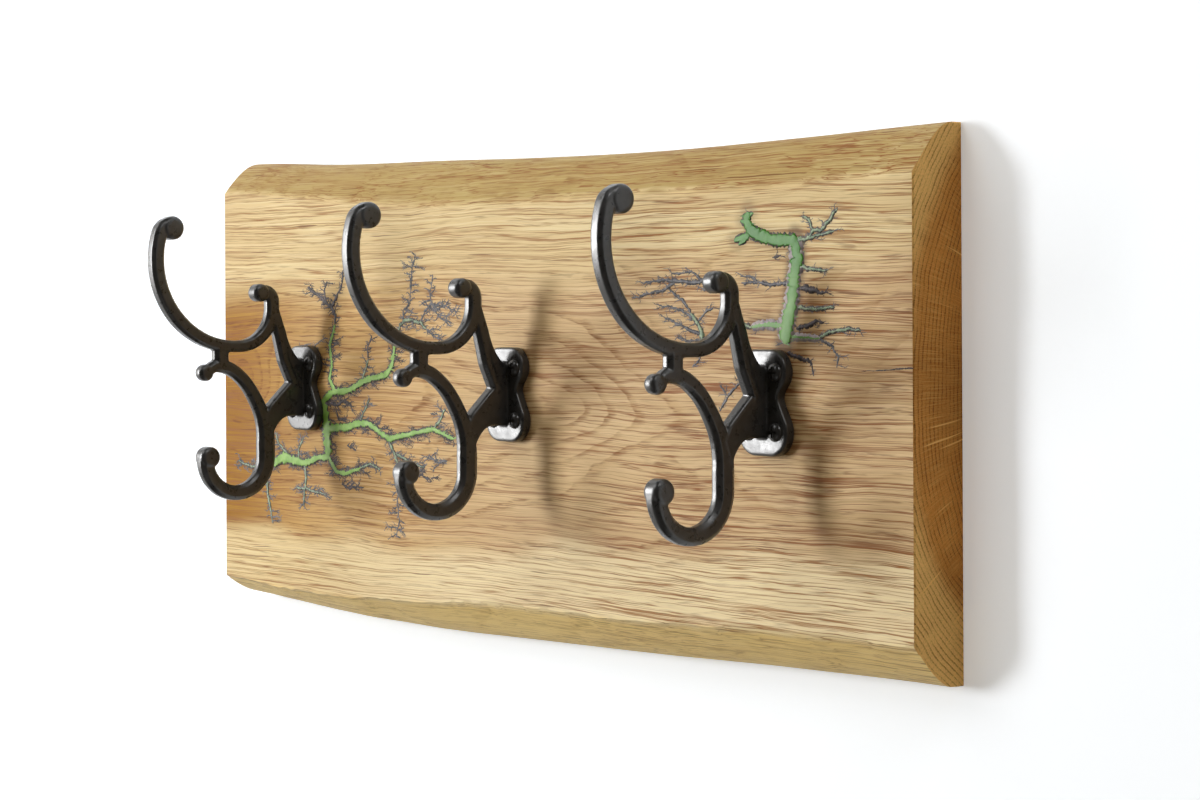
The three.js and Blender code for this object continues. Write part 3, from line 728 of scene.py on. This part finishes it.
def twigs_of(run, rng, pitch, length, width, tone, levels):
    """Twigs that leave a run of steps, with twigs of their own."""
    twigs = []
    to_next = rng.uniform(0.3, 1.0) * pitch
    side = rng.choice((-1, 1))
    for a, b in zip(run, run[1:]):
        along = np.array((b[0] - a[0], b[1] - a[1]))
        gap = np.hypot(*along)
        if gap < 1e-6:
            continue
        to_next -= gap
        if to_next > 0:
            continue
        to_next = pitch * rng.uniform(0.5, 1.5)
        side = -side if rng.random() < 0.75 else side
        heading = math.atan2(along[1], along[0]) + side * rng.uniform(0.6, 1.25)
        reach = length * rng.uniform(0.35, 1.15)
        place = np.array(a[:2])
        twig = [(*place, width)]
        count = max(3, int(reach / 0.8))
        for i in range(count):
            heading += rng.uniform(-0.27, 0.27)
            place = place + reach / count * np.array((math.cos(heading) * 1.35, math.sin(heading) * 0.65))
            twig.append((*place, width * (1 - 0.62 * (i + 1) / count)))
        twigs.append((tone, twig))
        if levels > 1 and reach > 2.2:
            twigs += twigs_of(twig, rng, pitch * 0.55, reach * 0.5, width * 0.72, tone, levels - 1)
    return twigs


def restless(run, amount, rng):
    """Half widths in metres along a run, each with a random part, drawn in at both ends."""
    halves = []
    for i, (_, _, width) in enumerate(run):
        end = min(i + 1, len(run) - i, 3) / 3
        halves.append(width / 2000 * end * (1 + rng.uniform(-amount, amount)))
    return halves


def flat_lines(name, lines, materials, flatness, lift, resolution):
    """Draws lines as round curves, makes them a mesh and presses that flat into the face."""
    curve = bpy.data.curves.new(name, "CURVE")
    curve.dimensions = "3D"
    curve.bevel_depth = 1.0
    curve.bevel_resolution = resolution
    curve.use_fill_caps = True
    for material in materials:
        curve.materials.append(material)
    for tone, run, halves in lines:
        spline = curve.splines.new("POLY")
        spline.points.add(len(run) - 1)
        spline.material_index = tone
        for point, (px, pz, _), half in zip(spline.points, run, halves):
            point.co = (px / 1000, 0, pz / 1000, 1)
            point.radius = half
    pick(new_object(name, curve))
    bpy.ops.object.convert(target="MESH")
    piece = bpy.context.object
    onto_face = Matrix.Translation((0, -THICKNESS - lift, 0))
    piece.data.transform(onto_face @ Matrix.Scale(flatness, 4, (0, 1, 0)))
    bpy.ops.object.shade_smooth()
    print(name, "faces:", len(piece.data.polygons))
    return piece


# %% [markdown]
# The resin is a cloudy green, deep at the upper right, greyer below that and brighter on the left. The
# charred wood around it has a grey and purple bloom. The three tones of the fine lines run from soot to
# thin green resin.

# %% Resin and char
def resin_material():
    material, n = new_material("green_resin")
    place = n.place()
    x, _, z = n.split(place)
    clouds = n.black_white(n.noise(place, 130, 3), 0.35, 0.65)
    deep = n.mix(clouds, rgb(44, 112, 16), rgb(62, 128, 30))
    pale = n.mix(clouds, rgb(88, 138, 60), rgb(114, 156, 84))
    apple = n.mix(clouds, rgb(122, 166, 70), rgb(154, 194, 102))
    colour = n.mix(n.step(z, 0.075, 0.045), deep, pale)
    colour = n.mix(n.step(x, 0.10, -0.02), colour, apple)
    colour = n.lay(colour, rgb(104, 140, 80), n.noise(place, 900, 2), 0.30)
    n.shade({"Base Color": colour, "Roughness": 0.34, "Specular IOR Level": 0.10})
    return material


def line_material(name, dark, light):
    material, n = new_material(name)
    spots = n.black_white(n.noise(n.place(), 420, 3), 0.38, 0.62)
    n.shade({"Base Color": n.mix(spots, dark, light), "Roughness": 0.6})
    return material


resin = resin_material()
soot_line = line_material("soot_line", rgb(40, 34, 36), rgb(78, 68, 70))
blue_line = line_material("blue_grey_line", rgb(60, 60, 66), rgb(108, 108, 112))
green_line = line_material("green_line", rgb(104, 128, 104), rgb(158, 176, 142))
char_edge = line_material("char_edge", rgb(50, 46, 42), rgb(92, 86, 78))
grey_edge = line_material("grey_edge", rgb(136, 126, 132), rgb(168, 156, 152))

# %% Lay the figure into the face
# how each side grows: its twigs have a pitch, a length and a width in millimetres, and a tone
FIGURE = {
    "left": SimpleNamespace(
        seed=11, channels=LEFT_CHANNELS, lines=LEFT_LINES, levels=3, wide=1.0, unrest=0.38,
        channel_twigs={"pitch": 1.3, "length": 9.0, "width": 1.1, "tone": 0},
        line_twigs={"pitch": 1.6, "width": 1.05},
    ),
    "right": SimpleNamespace(
        seed=12, channels=RIGHT_CHANNELS, lines=RIGHT_LINES, levels=2, wide=1.15, unrest=0.25,
        channel_twigs={"pitch": 1.5, "length": 6.0, "width": 0.75, "tone": 1},
        line_twigs={"pitch": 1.5, "width": 0.68},
    ),
}
# on the right, a channel that ends below this height has a broad grey halo
HALO_BELOW, HALO, PLAIN_EDGE, THIN_EDGE = 72, 3.4, 2.0, 1.1
SPIKES = {"pitch": 1.1, "width": 1.3, "tone": 0, "levels": 1}
# the left twigs are many, so those that start below this height are a piece of their own
TWIG_SPLIT = -23


def with_width(run, factor=1.0, more=0.0):
    return [(px, pz, width * factor + more) for px, pz, width in run]


burn_pieces, resin_pieces, all_runs = [], {}, []
for side_name, style in FIGURE.items():
    rng = np.random.default_rng(style.seed)
    resin_lines, edge_lines, twig_lines = [], [], []
    right = side_name == "right"
    for run in style.channels:
        steps = roughened(with_width(run, style.wide), 0.8, 0.2, rng)
        haloed = right and run[-1][1] < HALO_BELOW
        all_runs.append((steps, 1.0 if haloed else 0.5))
        resin_lines.append((0, steps, restless(steps, style.unrest, rng)))
        for _, spike in twigs_of(steps, rng, length=steps[0][2] * 0.75, **SPIKES):
            resin_lines.append((0, spike, restless(spike, 0.3, rng)))
        wider = with_width(steps, more=HALO if haloed else PLAIN_EDGE)
        edge_lines.append((int(haloed), wider, restless(wider, 0.22, rng)))
        twig_lines += twigs_of(steps, rng, levels=style.levels, **style.channel_twigs)
    for tone, run in style.lines:
        steps = roughened(with_width(run, 1.4 if tone == 0 else 1.05), 0.7, 0.34, rng)
        all_runs.append((steps, 0.12))
        twig_lines.append((tone, steps))
        if tone == 2:
            wider = with_width(steps, more=THIN_EDGE)
            edge_lines.append((0, wider, restless(wider, 0.3, rng)))
        longest = 5.2 if right else min(8.0, 2.0 + 0.3 * len(steps))
        grown = {"length": longest, "tone": min(tone, 1), "levels": style.levels}
        twig_lines += twigs_of(steps, rng, **grown, **style.line_twigs)
    if right:
        twig_lines.append((0, roughened(CRACK, 0.7, 0.1, rng)))
    twig_lines = [(tone, run, restless(run, 0.45, rng)) for tone, run in twig_lines]
    resin_pieces[side_name] = flat_lines(
        f"resin_{side_name}", resin_lines, [resin], flatness=0.05, lift=0.00004, resolution=2
    )
    burn_pieces.append(flat_lines(
        f"char_edge_{side_name}", edge_lines, [char_edge, grey_edge],
        flatness=0.02, lift=0.00001, resolution=1,
    ))
    groups = {"": twig_lines} if right else {
        "_upper": [line for line in twig_lines if line[1][0][1] > TWIG_SPLIT],
        "_lower": [line for line in twig_lines if line[1][0][1] <= TWIG_SPLIT],
    }
    for part, lines in groups.items():
        tones = [soot_line, blue_line, green_line]
        twigs = flat_lines(f"twigs_{side_name}{part}", lines, tones, flatness=0.12, lift=0.0, resolution=0)
        burn_pieces.append(twigs)

# %% [markdown]
# Heat browns the wood beside the channels, and the heart of the board is warmer than its pale edges.
# They are stored on the net as numbers, which the oak material reads: char falls off with the distance
# to the nearest line, warm fades towards the upper and lower edges, and wane marks the bark edges.

# %% Warm heartwood and browned edges
x, y, z = net_points(board).T
ring_reach = np.hypot(y - HEART_BEHIND, z)
upper_limit = np.interp(x, (-0.3, 0, 0.3), (0.056, 0.064, 0.068)) + 0.006 * wobble(x, 21, 0.06)
lower_limit = np.interp(x, (-0.3, 0, 0.3), (0.092, 0.082, 0.070)) + 0.006 * wobble(x, 22, 0.05)
limit = np.hypot(HEART_BEHIND + THICKNESS, np.where(z > 0, upper_limit, lower_limit))
softness = np.where(z > 0, 0.006, 0.0035)
warm = fade(limit - ring_reach, -softness, softness)
at_back = y > -0.0005
warm = np.where(at_back, 0.5, warm)
rim_here = np.where(z > 0, line_height(FACE_TOP, x), line_height(FACE_BOTTOM, x))
wane = np.where(at_back, 0.0, fade(np.abs(z) - np.abs(rim_here), -0.0005, 0.0015))

char = np.zeros(len(x))
near_face = np.where(y < -THICKNESS + 0.0005)[0]
SCORCH = 0.005
for steps, weight in all_runs:
    line = np.array([(px, pz) for px, pz, _ in steps[::2]]) / 1000
    width = max(width for _, _, width in steps) / 1000
    reach = width / 2 + SCORCH + 0.002
    near = near_face[
        (x[near_face] > line[:, 0].min() - reach) & (x[near_face] < line[:, 0].max() + reach)
        & (z[near_face] > line[:, 1].min() - reach) & (z[near_face] < line[:, 1].max() + reach)
    ]
    gap = np.hypot(x[near, None] - line[None, :, 0], z[near, None] - line[None, :, 1]).min(1)
    glow = weight * np.clip(1 - (gap - width / 2) / SCORCH, 0, 1) ** 2
    char[near] = np.maximum(char[near], glow)
for name, values in (("warm", warm), ("wane", wane), ("char", 0.75 * char)):
    board.data.attributes.new(name, "FLOAT", "POINT").data.foreach_set("value", values)

dress(board, face_oak, end_oak)
for face in board.data.polygons:
    face.material_index = 1 if abs(face.normal.x) > 0.6 else 0
pick(board)
bpy.ops.object.shade_smooth_by_angle(angle=math.radians(40))
print("charred points:", int((char > 0.1).sum()))

# %% [markdown]
# A hook is one iron casting. Its bars are square with cut-off corners and follow arcs in one upright
# plane, so each starts as such a face and is spun from arc to arc, as the pattern maker would bend it.
# Reach is measured from the hook's back away from the wall, and height from the middle of its plate.

# %% Bars of the hook
HOOK_BACK = -THICKNESS - 0.0003
BAR_CHAMFER = 0.0017


def hook_point(reach, height):
    return Vector((0, HOOK_BACK - reach / 1000, height / 1000))


def start_bar(name, reach, height, heading, size):
    """A square face with cut corners, facing along a heading in degrees in the hook's plane."""
    start_clean()
    direction = (-math.cos(math.radians(heading)), math.sin(math.radians(heading)))
    bpy.ops.mesh.primitive_plane_add(
        size=size / 1000, location=hook_point(reach, height),
        rotation=(math.atan2(-direction[0], direction[1]), 0, 0),
    )
    bar = bpy.context.object
    bar.name = name
    apply_place(bar)
    edit_all(bar)
    bpy.ops.mesh.bevel(affect="VERTICES", offset=BAR_CHAMFER, segments=1)
    bpy.ops.mesh.select_all(action="SELECT")
    return bar


def spin_on(reach, height, turned, steps):
    """Spins the bar's end about a point by degrees, positive from the wall side over the top."""
    bpy.ops.mesh.spin(
        steps=steps, angle=math.radians(turned), center=hook_point(reach, height), axis=(1, 0, 0)
    )


def run_on(reach, height, steps):
    """Draws the bar's end on in a straight line."""
    for _ in range(steps):
        move = Vector((0, -reach, height)) / 1000 / steps
        bpy.ops.mesh.extrude_region_move(TRANSFORM_OT_translate={"value": move})


def swell(bar, size, path):
    """Scales each ring of a bar to the depth and width of the nearest point of its path."""
    bpy.ops.object.mode_set(mode="OBJECT")
    knots = np.array(path, float)
    dense = [knots[0]]
    for a, b in zip(knots, knots[1:]):
        count = max(1, int(np.hypot(*(b - a)[:2])))
        dense += [a + (b - a) * (i + 1) / count for i in range(count)]
    dense = np.array(dense)
    for vertex in bar.data.vertices:
        reach, height = (HOOK_BACK - vertex.co.y) * 1000, vertex.co.z * 1000
        near_reach, near_height, depth, width = dense[
            np.argmin((dense[:, 0] - reach) ** 2 + (dense[:, 1] - height) ** 2)
        ]
        place = hook_point(near_reach, near_height)
        vertex.co.y = place.y + (vertex.co.y - place.y) * depth / size
        vertex.co.z = place.z + (vertex.co.z - place.z) * depth / size
        vertex.co.x *= width / size
    edit_all(bar)
    bpy.ops.mesh.remove_doubles(threshold=1e-6)
    turn_outwards()
    bpy.ops.object.mode_set(mode="OBJECT")
    return bar


def arc_path(reach, height, radius, from_angle, to_angle, from_size, to_size, steps=16):
    """Points of an arc with depth and width, for swell."""
    path = []
    for i in range(steps + 1):
        t = i / steps
        angle = math.radians(from_angle + (to_angle - from_angle) * t)
        sizes = [a + (b - a) * t for a, b in zip(from_size, to_size)]
        path.append((reach + radius * math.cos(angle), height + radius * math.sin(angle), *sizes))
    return path


# %% The upper scroll
# each arc: reach, height and radius, its angles, and the depth and width of the bar at both its ends
ARM, CRADLE, CURL = (8.2, 8.4), (6.8, 7.4), (8.6, 6.8)
upper_path = (
    arc_path(93.2, 89.3, 7, 100, 18, ARM, ARM)
    + arc_path(51.9, 75.9, 50.4, 18, -45, ARM, ARM, 40)
    + arc_path(51.9, 75.9, 50.4, -45, -90, ARM, CRADLE, 30)
    + arc_path(48.2, 48.5, 23, -90, -180, CRADLE, CURL, 24)
    + arc_path(31.2, 51.5, 6, 180, 80, CURL, CURL, 8)
)
upper = start_bar("upper_scroll", upper_path[0][0], upper_path[0][1], 10, ARM[0])
spin_on(93.2, 89.3, -82, 10)
spin_on(51.9, 75.9, -108, 48)
run_on(-3.7, 0, 2)
spin_on(48.2, 48.5, -90, 24)
run_on(0, 3, 2)
spin_on(31.2, 51.5, -100, 10)
upper = swell(upper, ARM[0], upper_path)
print("upper scroll:", len(upper.data.vertices), [round(v, 4) for v in upper.dimensions])

# %% The lower scroll and the ties
BAR = 7
lower_path = (
    arc_path(62.7, 7.1, 7, 25, 90, (6, BAR), (7.4, BAR), 8)
    + arc_path(62.7, -5.9, 20, 90, 122, (7.6, BAR), (7.8, BAR))
    + arc_path(72.24, -21.16, 38, 122, 144, (7.8, BAR), (7.8, BAR))
    + arc_path(102.2, -42.9, 75, 144, 156, (7.8, BAR), (8.6, BAR))
    + arc_path(74.8, -30.7, 45, 156, 180, (8.6, BAR), (11.2, BAR))
    + arc_path(50.2, -40.2, 20.4, 180, 270, (11.2, BAR), (8.8, BAR), 24)
    + arc_path(50.2, -40.2, 20.4, 270, 360, (8.8, BAR), (9, 9), 24)
)
lower = start_bar("lower_scroll", lower_path[0][0], lower_path[0][1], 115, BAR)
for reach, height, turned, steps in (
    (62.7, 7.1, 65, 8), (62.7, -5.9, 32, 8), (72.24, -21.16, 22, 9), (102.2, -42.9, 12, 8),
    (74.8, -30.7, 24, 10),
):
    spin_on(reach, height, turned, steps)
run_on(0, -9.5, 5)
spin_on(50.2, -40.2, 180, 40)
lower = swell(lower, BAR, lower_path)

ties = []
for name, size, path in (
    ("connector", BAR, [(60.3, 13, 9.6, BAR), (60.3, 27, 9.6, BAR)]),
    ("strut_top", 6.5, [(24.4, 46.5, 6.5, 7), (17.5, 17, 6.5, 8.4)]),
    ("strut_foot", 6.5, [(17.5, 17, 6.5, 8.4), (10.8, 2, 6.5, 8.4)]),
):
    (r0, h0, _, _), (r1, h1, _, _) = path
    tie = start_bar(name, r0, h0, math.degrees(math.atan2(h1 - h0, r1 - r0)), size)
    run_on(r1 - r0, h1 - h0, 4)
    ties.append(swell(tie, size, path))
print("lower scroll:", len(lower.data.vertices), [round(v, 4) for v in lower.dimensions])

# %% [markdown]
# The ends of the scrolls are round knobs, short fat discs across the bar. Each is a cylinder with its
# rims well rounded, which reads as a forged ball end from the front.

# %% Knobs
def knob(name, reach, height, radius, width):
    piece = cylinder(40, radius / 1000, width / 1000, hook_point(reach, height), (0, 90))
    piece.name = name
    bpy.ops.object.mode_set(mode="EDIT")
    select_where(lambda face: abs(face.normal.x) > 0.9, "faces")
    bpy.ops.mesh.bevel(offset=0.0026, segments=5, affect="EDGES")
    bpy.ops.object.mode_set(mode="OBJECT")
    return piece


knobs = [
    knob("tip_knob", 92.5, 94.2, 6.9, 9.8),
    knob("curl_knob", 34, 57, 5.3, 10),
    knob("spur_knob", 70.8, 10.2, 4.9, 7.8),
    knob("lower_knob", 68.9, -39.2, 6.3, 10.2),
]

# %% [markdown]
# The plate has two round lobes above its waist and two below. Its outline is drawn as points and pulled
# out to its thickness, and the rim is rounded. The web stands on it, and its edge runs up the strut and
# out to the lower scroll.

# %% Plate and web
PLATE = 5.3


def slab(name, outline, across_axis, low, high, rim, segments):
    """An outline given as (first, height) pulled out between two levels, with its rims rounded."""
    net = bmesh.new()
    if across_axis:
        corners = [net.verts.new((a / 1000, HOOK_BACK - low / 1000, b / 1000)) for a, b in outline]
        move = Vector((0, -(high - low) / 1000, 0))
    else:
        corners = [net.verts.new((low / 1000, HOOK_BACK - a / 1000, b / 1000)) for a, b in outline]
        move = Vector(((high - low) / 1000, 0, 0))
    net.faces.new(corners)
    mesh = bpy.data.meshes.new(name)
    net.to_mesh(mesh)
    net.free()
    piece = new_object(name, mesh)
    edit_all(piece)
    bpy.ops.mesh.extrude_region_move(TRANSFORM_OT_translate={"value": move})
    turn_outwards()
    if across_axis:
        select_where(lambda face: face.normal.y < -0.9, "faces")
    else:
        select_where(lambda face: abs(face.normal.x) > 0.9, "faces")
    bpy.ops.mesh.bevel(offset=rim / 1000, segments=segments, affect="EDGES")
    bpy.ops.object.mode_set(mode="OBJECT")
    return piece


def circle_points(across, height, radius, from_angle, to_angle, steps):
    angles = [math.radians(from_angle + (to_angle - from_angle) * i / steps) for i in range(steps + 1)]
    return [(across + radius * math.cos(a), height + radius * math.sin(a)) for a in angles]


UPPER_LOBE, LOWER_LOBE = 10.7, 11.3
half = (
    circle_points(16.2 - UPPER_LOBE, 25.4 - UPPER_LOBE, UPPER_LOBE, 90, -28, 26)
    + [(11.6, 5.6), (10.7, 3.6), (10.5, 2.4), (10.8, 1.0), (11.9, -1.4)]
    + circle_points(17 - LOWER_LOBE, LOWER_LOBE - 25.2, LOWER_LOBE, 30, -90, 26)
)
plate = slab("plate", half + [(-a, b) for a, b in reversed(half)], True, 0, PLATE, 1.3, 3)


def bend(a, by, b):
    """Points of a soft bend from a to b, pulled towards a third point."""
    a, by, b = (np.array(p, float) for p in (a, by, b))
    return [tuple((1 - t) ** 2 * a + 2 * t * (1 - t) * by + t * t * b) for t in np.linspace(0, 1, 9)]


web_outline = (
    [(2.65, 17.5)] + bend((8, 17.5), (14.5, 24), (16.8, 34)) + [(21.6, 47.5), (25, 44), (22, 28)]
    + bend((14.5, 12), (12.2, 6), (14.4, 4.2)) + [(21.5, -2.6), (28.6, -9.6), (32.5, -17), (27.5, -30)]
    + bend((27.5, -30.5), (22.5, -16.5), (14.5, -16.5)) + [(2.65, -16.5)]
)
web = slab("web", web_outline, False, -3.8, 3.8, 1.5, 2)

# %% [markdown]
# The pieces of the casting are joined and made into one skin, as the iron would fill one mould. The skin
# is then smoothed a little, so the joints get the soft fillets of a casting and the edges lose their
# knife sharpness. Holes for the four wood screws come last. The other two hooks are copies.

# %% One casting, three times
hook = join_pieces("hook", [upper, lower, *ties, *knobs, plate, web])
apply_modifier(hook, "REMESH", mode="VOXEL", voxel_size=0.0005, adaptivity=0.0)
apply_modifier(hook, "SMOOTH", factor=0.5, iterations=4)
DRILL_RADIUS = 0.0024
SCREWS = [(-9.3, 14.4), (9.3, 14.4), (-9.3, -13.6), (9.3, -13.6)]
for across, height in SCREWS:
    cut(hook, cylinder(32, DRILL_RADIUS, 0.02, (across / 1000, HOOK_BACK, height / 1000), (90, 0)))
pick(hook)
bpy.ops.object.shade_smooth()
print("hook:", len(hook.data.polygons), "faces,", [round(v, 4) for v in hook.dimensions])

# %% [markdown]
# Black lacquer on cast iron: a dark glossy skin over a faintly pebbled surface. A fine bump breaks up
# the reflections, and the gloss and the tone change a little from place to place.

# %% Iron, screws and zinc
def iron_material(name, speckle, roughness):
    material, n = new_material(name)
    place = n.place()
    coarse, fine = n.noise(place, 260, 3), n.noise(place, 900, 2)
    satin, matt = ((roughness * share,) * 3 + (1,) for share in (0.8, 1.3))
    height = n.add(n.times(coarse, 0.25), n.times(fine, 0.4))
    n.shade({
        "Base Color": n.ramp(coarse, [(0.35, rgb(42, 42, 42)), (0.65, rgb(53, 52, 51))]),
        "Roughness": n.ramp(coarse, [(0.3, satin), (0.7, matt)]),
        "Specular IOR Level": 0.5, "Coat Weight": 0.2, "Coat Roughness": 0.3,
        "Normal": n.bump(height, speckle, 0.00028),
    })
    return material


def zinc_material():
    material, n = new_material("zinc")
    place = n.place()
    brushed = n.noise(n.stretch(place, (3000, 3000, 120)), 1, 2)
    clouds = n.noise(place, 220, 2)
    n.shade({
        "Base Color": n.ramp(clouds, [(0.3, rgb(178, 182, 186)), (0.7, rgb(206, 209, 211))]),
        "Metallic": 1.0, "Roughness": 0.38, "Normal": n.bump(brushed, 0.1, 0.0001),
    })
    return material


iron = iron_material("cast_iron", 0.42, 0.3)
black_screw = iron_material("black_screw", 0.12, 0.2)
zinc = zinc_material()

# %% Three hooks and their screws
HOOK_X = {"left": -0.202, "middle": 0.002, "right": 0.206}
HEAD_RADIUS = 0.0045
SHANK_RADIUS = 0.0021
SHANK_LENGTH = 0.0249
POINT_LENGTH = 0.0035
dress(hook, iron)
hooks = {name: copy_piece(hook, f"cast_hook_{name}", (hook_x, 0, 0)) for name, hook_x in HOOK_X.items()}
bpy.data.objects.remove(hook)


def round_screw(name):
    """A round-head wood screw that points into the wall, its head's seat at the origin."""
    start_clean()
    bpy.ops.mesh.primitive_uv_sphere_add(segments=48, ring_count=24, radius=HEAD_RADIUS)
    head = bpy.context.object
    edit_all(head)
    bpy.ops.mesh.bisect(plane_co=(0, 0, 0), plane_no=(0, 1, 0), use_fill=True, clear_outer=True)
    bpy.ops.mesh.select_all(action="SELECT")
    bpy.ops.transform.resize(value=(1, 0.58, 1), center_override=(0, 0, 0))
    bpy.ops.object.mode_set(mode="OBJECT")
    for size in ((0.0056, 0.0022, 0.0011), (0.0011, 0.0022, 0.0056)):
        bpy.ops.mesh.primitive_cube_add(size=1, location=(0, -0.0027, 0))
        blade = bpy.context.object
        blade.dimensions = size
        apply_place(blade)
        cut(head, blade)
    shank = cylinder(32, SHANK_RADIUS, SHANK_LENGTH, (0, SHANK_LENGTH / 2, 0), (90, 0))
    bpy.ops.object.mode_set(mode="EDIT")
    select_where(lambda face: face.normal.y > 0.9, "faces")
    bpy.ops.mesh.extrude_region_move(TRANSFORM_OT_translate={"value": (0, POINT_LENGTH, 0)})
    bpy.ops.transform.resize(value=(0.12, 1, 0.12), center_override=(0, 0.028, 0))
    bpy.ops.object.mode_set(mode="OBJECT")
    cut(head, shank, "UNION")
    head.name = name
    pick(head)
    bpy.ops.object.shade_smooth_by_angle(angle=math.radians(30))
    return head


screw = round_screw("screw")
dress(screw, black_screw)
screws = {}
for name, hook_x in HOOK_X.items():
    for number, (across, height) in enumerate(SCREWS, 1):
        offset = (hook_x + across / 1000, HOOK_BACK - PLATE / 1000, height / 1000)
        screws[name, number] = copy_piece(screw, f"round_screw_{name}_{number}", offset)
bpy.data.objects.remove(screw)
print("screws:", len(screws), [round(v, 4) for v in screws["left", 1].dimensions])

# %% [markdown]
# Everything made here rides on the one rigid body, and each new piece stands for the node that it
# replaces. The hangers keep their shape from the model and only get their zinc.

# %% Tie the pieces to the model
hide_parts("board")
for name in ("left", "right"):
    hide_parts(f"inlay_{name}")
for name, piece in hooks.items():
    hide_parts(f"hook_{name}")
for (name, number), piece in screws.items():
    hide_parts(f"hook_{name}_screw_{number}")
pieces = [board, *resin_pieces.values(), *burn_pieces, *hooks.values(), *screws.values()]
for piece in pieces:
    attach(piece, "root")
for name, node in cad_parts.items():
    if name.startswith("hanger"):
        dress(node, zinc)
triangles = {piece.name: sum(len(face.vertices) - 2 for face in piece.data.polygons) for piece in pieces}
print("triangles:", sum(triangles.values()), max(triangles.items(), key=lambda item: item[1]))

# %% [markdown]
# The rack hangs on a white wall. The wall is part of the stage: it takes the soft shadows, and from
# behind it is clear, so the back can be looked at too. An opening just inside the board's outline lets
# the light of a lamp behind the wall reach the board's back. The key light is a large soft box from the
# left, about level with the rack, and a weaker one from above gives the shadow below the board.

# %% The wall
def wall_material():
    material, n = new_material("wall")
    rays = n.node("ShaderNodeLightPath").outputs
    seen = n.maths("MAXIMUM", rays["Is Camera Ray"], rays["Is Glossy Ray"])
    n.shade({
        "Base Color": (0.88, 0.935, 1.0, 1), "Roughness": 1.0,
        "Emission Color": (1, 1, 1, 1), "Emission Strength": n.times(seen, 0.30),
    })
    plaster = n.tree.nodes["Principled BSDF"].outputs[0]
    clear = n.node("ShaderNodeBsdfTransparent").outputs[0]
    behind = n.node("ShaderNodeNewGeometry").outputs["Backfacing"]
    mixed = n.node("ShaderNodeMixShader", {0: behind, 1: plaster, 2: clear}).outputs[0]
    n.give(n.tree.nodes["Material Output"].inputs["Surface"], mixed)
    return material


WALL_GAP = 0.0006
OPENING_INSET = 0.002
WALL_GROWTH = (10, 1, 24)
start_clean()
place = {"location": (0, WALL_GAP, 0), "rotation": (math.radians(90), 0, 0)}
bpy.ops.mesh.primitive_grid_add(x_subdivisions=24, y_subdivisions=1, size=1, **place)
wall = bpy.context.object
wall.name = "wall"
wall.scale = (LENGTH - 2 * OPENING_INSET, 1, 1)
apply_place(wall)
for corner in wall.data.vertices:
    edge_line, inward = (CREST_TOP, -1) if corner.co.z > 0 else (CREST_BOTTOM, 1)
    corner.co.z = line_height(edge_line, corner.co.x) + inward * OPENING_INSET
bpy.ops.object.mode_set(mode="EDIT")
select_where(lambda edge: edge.is_boundary, "edges")
bpy.ops.mesh.extrude_region_move(TRANSFORM_OT_translate={"value": (0, 0, 0)})
bpy.ops.transform.resize(value=WALL_GROWTH)
select_where(lambda face: max(abs(corner.co.z) for corner in face.verts) < LENGTH / 2, "faces")
bpy.ops.mesh.delete(type="FACE")
bpy.ops.object.mode_set(mode="OBJECT")
print("wall:", len(wall.data.polygons), "faces,", [round(v, 2) for v in wall.dimensions])
print("wall faces the room:", all(face.normal.y < 0 for face in wall.data.polygons))
dress(wall, wall_material())


# %% Lamps and world
def soft_box(name, place, target, width, height, watts):
    lamp = bpy.data.lights.new(name, "AREA")
    lamp.shape = "RECTANGLE"
    lamp.size, lamp.size_y, lamp.energy = width, height, watts
    holder = new_object(name, lamp)
    place, target = Vector(place), Vector(target)
    holder.location = place
    holder.rotation_euler = (target - place).to_track_quat("-Z", "Y").to_euler()
    return holder


soft_box("key", (-2.26, -2.26, 0.3), (0, -0.05, 0), 0.7, 1.3, 80)
soft_box("overhead", (-1.0, -2.1, 2.2), (0, -0.05, 0), 2.2, 1.5, 38)
soft_box("fill", (0.5, -2.2, -2.2), (0, -0.05, 0), 2.0, 1.5, 5)
soft_box("rim", (1.9, -0.4, 2.1), (0.3, 0, 0), 1.0, 1.0, 19)
soft_box("behind", (0.6, 2.4, 1.2), (0, 0, 0), 2.0, 2.0, 80)
# this card is only mirrored: it draws the pale strips on the fronts of the arms
card = soft_box("card", (-2.5, -1.95, 0.25), (0, -0.05, 0), 1.0, 2.6, 46)
card.visible_diffuse = False
world = bpy.data.worlds.new("world")
bpy.context.scene.world = world
world.use_nodes = True
n = Nodes(world.node_tree)
rays = n.node("ShaderNodeLightPath").outputs
# the lacquer of the hooks mirrors a room that is bright on the left
across = n.split(n.node("ShaderNodeTexCoord").outputs["Generated"])[0]
mirrored = n.mix(n.step(across, -0.45, -0.80), (0.04, 0.04, 0.04, 1), (1.0, 0.98, 0.95, 1))
sky_colour = n.mix(rays["Is Glossy Ray"], (0.095, 0.068, 0.030, 1), mirrored)
sky_colour = n.mix(rays["Is Camera Ray"], sky_colour, (1, 1, 1, 1))
sky = n.tree.nodes["Background"]
n.give(sky.inputs["Color"], sky_colour)
n.give(sky.inputs["Strength"], 1.0)
